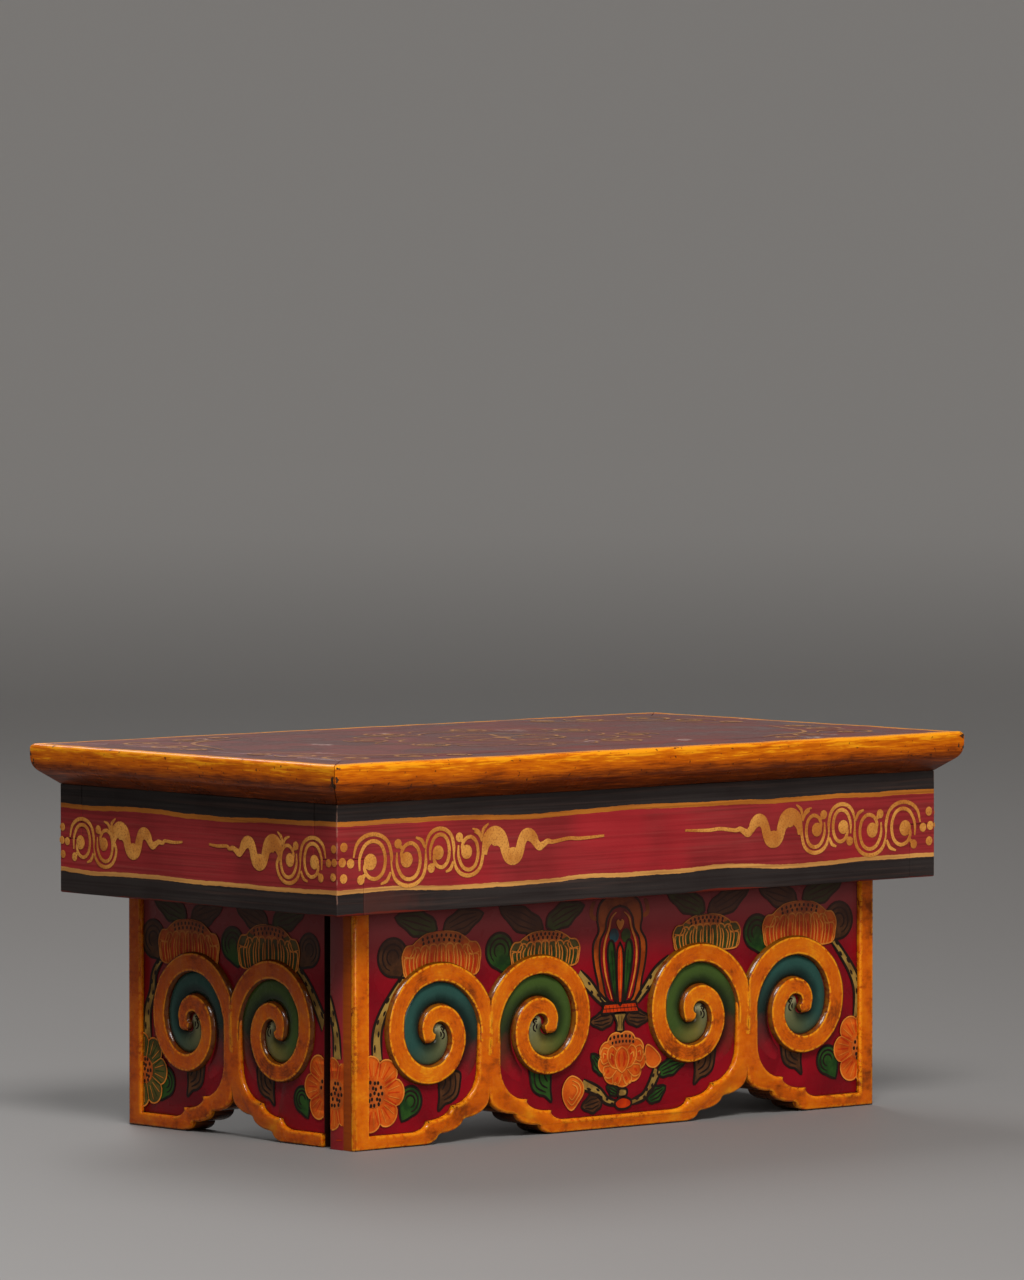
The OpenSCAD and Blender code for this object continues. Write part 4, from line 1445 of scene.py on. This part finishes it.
leaf(side_work, 32, 103, 27, 12, 160, 8, "leaf_brown")
side_work.stand(side_axis, 1, 2)
curled_leaf(side_work, 2.5, 92.5, 8.4, -65, 0.5, "leaf_green")
for panel in (left, right):
    brush_on(side_work, panel, panel["name"])

# Battens, hinges and screws
# Bare planed battens under the board carry the panels on steel butt hinges. The steel is plain
# and a little dulled, with slotted screws.


def batten_wood():
    paint = Paint("batten_wood")
    at = paint.place()
    rings = at.grain((14, 14, 160), 5, 0.6)
    pores = at.grain((60, 60, 900), 2)
    colour = rings.ramp([(0.35, srgb(92, 58, 32)), (0.52, srgb(134, 90, 52)), (0.66, srgb(158, 112, 68))])
    colour = pores.between(0.55, 0.7, 0.5).mix(colour, srgb(70, 42, 22))
    return paint.varnish(colour, rings.between(-1.0, 1.0, 0.9), pores, 0.12 * MM, 0.0, 0.3)


def hinge_steel():
    paint = Paint("hinge_steel")
    at = paint.place()
    tarnish = at.grain(140, 5, 0.65)
    colour = tarnish.ramp([(0.4, srgb(150, 146, 138)), (0.62, srgb(92, 78, 64))])
    return paint.shade({"Base Color": colour, "Metallic": 1.0, "Roughness": tarnish.between(-0.4, 0.9, 0.7),
                        "Normal": paint.bump(at.grain((60, 60, 1500), 2), 0.03 * MM)})


bare_wood = batten_wood()
steel = hinge_steel()
for name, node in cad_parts.items():
    if name.startswith("batten_") and name != "batten_screws":
        coloured(node, bare_wood)
    elif "leaf" in name or "pin" in name or "screws" in name:
        coloured(node, steel)

# Studio
# A plain pale floor, soft light from a large window above and in front, and the long lens of
# the view that the table is shown in.
bowl_flat = 8
bowl_round = 8
floor = begin("floor", bpy.ops.mesh.primitive_grid_add, x_subdivisions=96, y_subdivisions=24, size=2)
for vertex in floor.data.vertices:
    angle = math.pi * vertex.co.x
    slope = math.radians(90) * max(0, vertex.co.y)
    reach = bowl_flat * min(1, 1 + vertex.co.y) + bowl_round * math.sin(slope)
    vertex.co = (*polar(0, 0, reach, angle), bowl_round * (1 - math.cos(slope)))
mode("EDIT")
bpy.ops.mesh.select_all(action="SELECT")
bpy.ops.mesh.remove_doubles(threshold=MM)
mode("OBJECT")
smooth(60)
floor_paint = Paint("floor_paint")
from_middle = floor_paint.value("ShaderNodeVectorMath", {0: floor_paint.place()}, "Value",
                                operation="LENGTH")
floor_tone = from_middle.between(1.0, 9.0).mix(srgb(116, 113, 111), srgb(238, 236, 234))
coloured(floor, floor_paint.shade({"Base Color": floor_tone, "Roughness": 0.6}))


def soft_light(name, place, target, size, power):
    bpy.ops.object.light_add(type="AREA", location=place)
    lamp = bpy.context.object
    lamp.name = name
    lamp.data.size = size
    lamp.data.energy = power
    lamp.rotation_euler = (Vector(target) - Vector(place)).to_track_quat("-Z", "Y").to_euler()


soft_light("key_light", (-0.95, -1.45, 2.1), (0, 0, 0.1), 0.9, 72)
soft_light("fill_light", (-0.5, -2.7, 0.9), (0, 0, 0.1), 1.2, 18)
soft_light("back_light", (0.6, 1.8, 1.9), (0, 0, 0.15), 1.2, 24)
world = bpy.data.worlds.new("studio_air")
world.use_nodes = True
air = world.node_tree.nodes["Background"]
air.inputs[0].default_value = srgb(150, 148, 146)
air.inputs[1].default_value = 0.7
bpy.context.scene.world = world
bpy.context.scene.view_settings.view_transform = "Standard"

view_place = (-2.9805, -3.3797, 0.4571)
view_yaw = 41.470
view_pitch = 2.776
view_focal = 9000 / 1280
film_side = 36
bpy.ops.object.camera_add(location=view_place,
                          rotation=(math.radians(90 - view_pitch), 0, math.radians(-view_yaw)))
camera = bpy.context.object
camera.data.sensor_width = film_side
camera.data.lens = view_focal * film_side
camera.data.clip_end = 100
bpy.context.scene.camera = camera
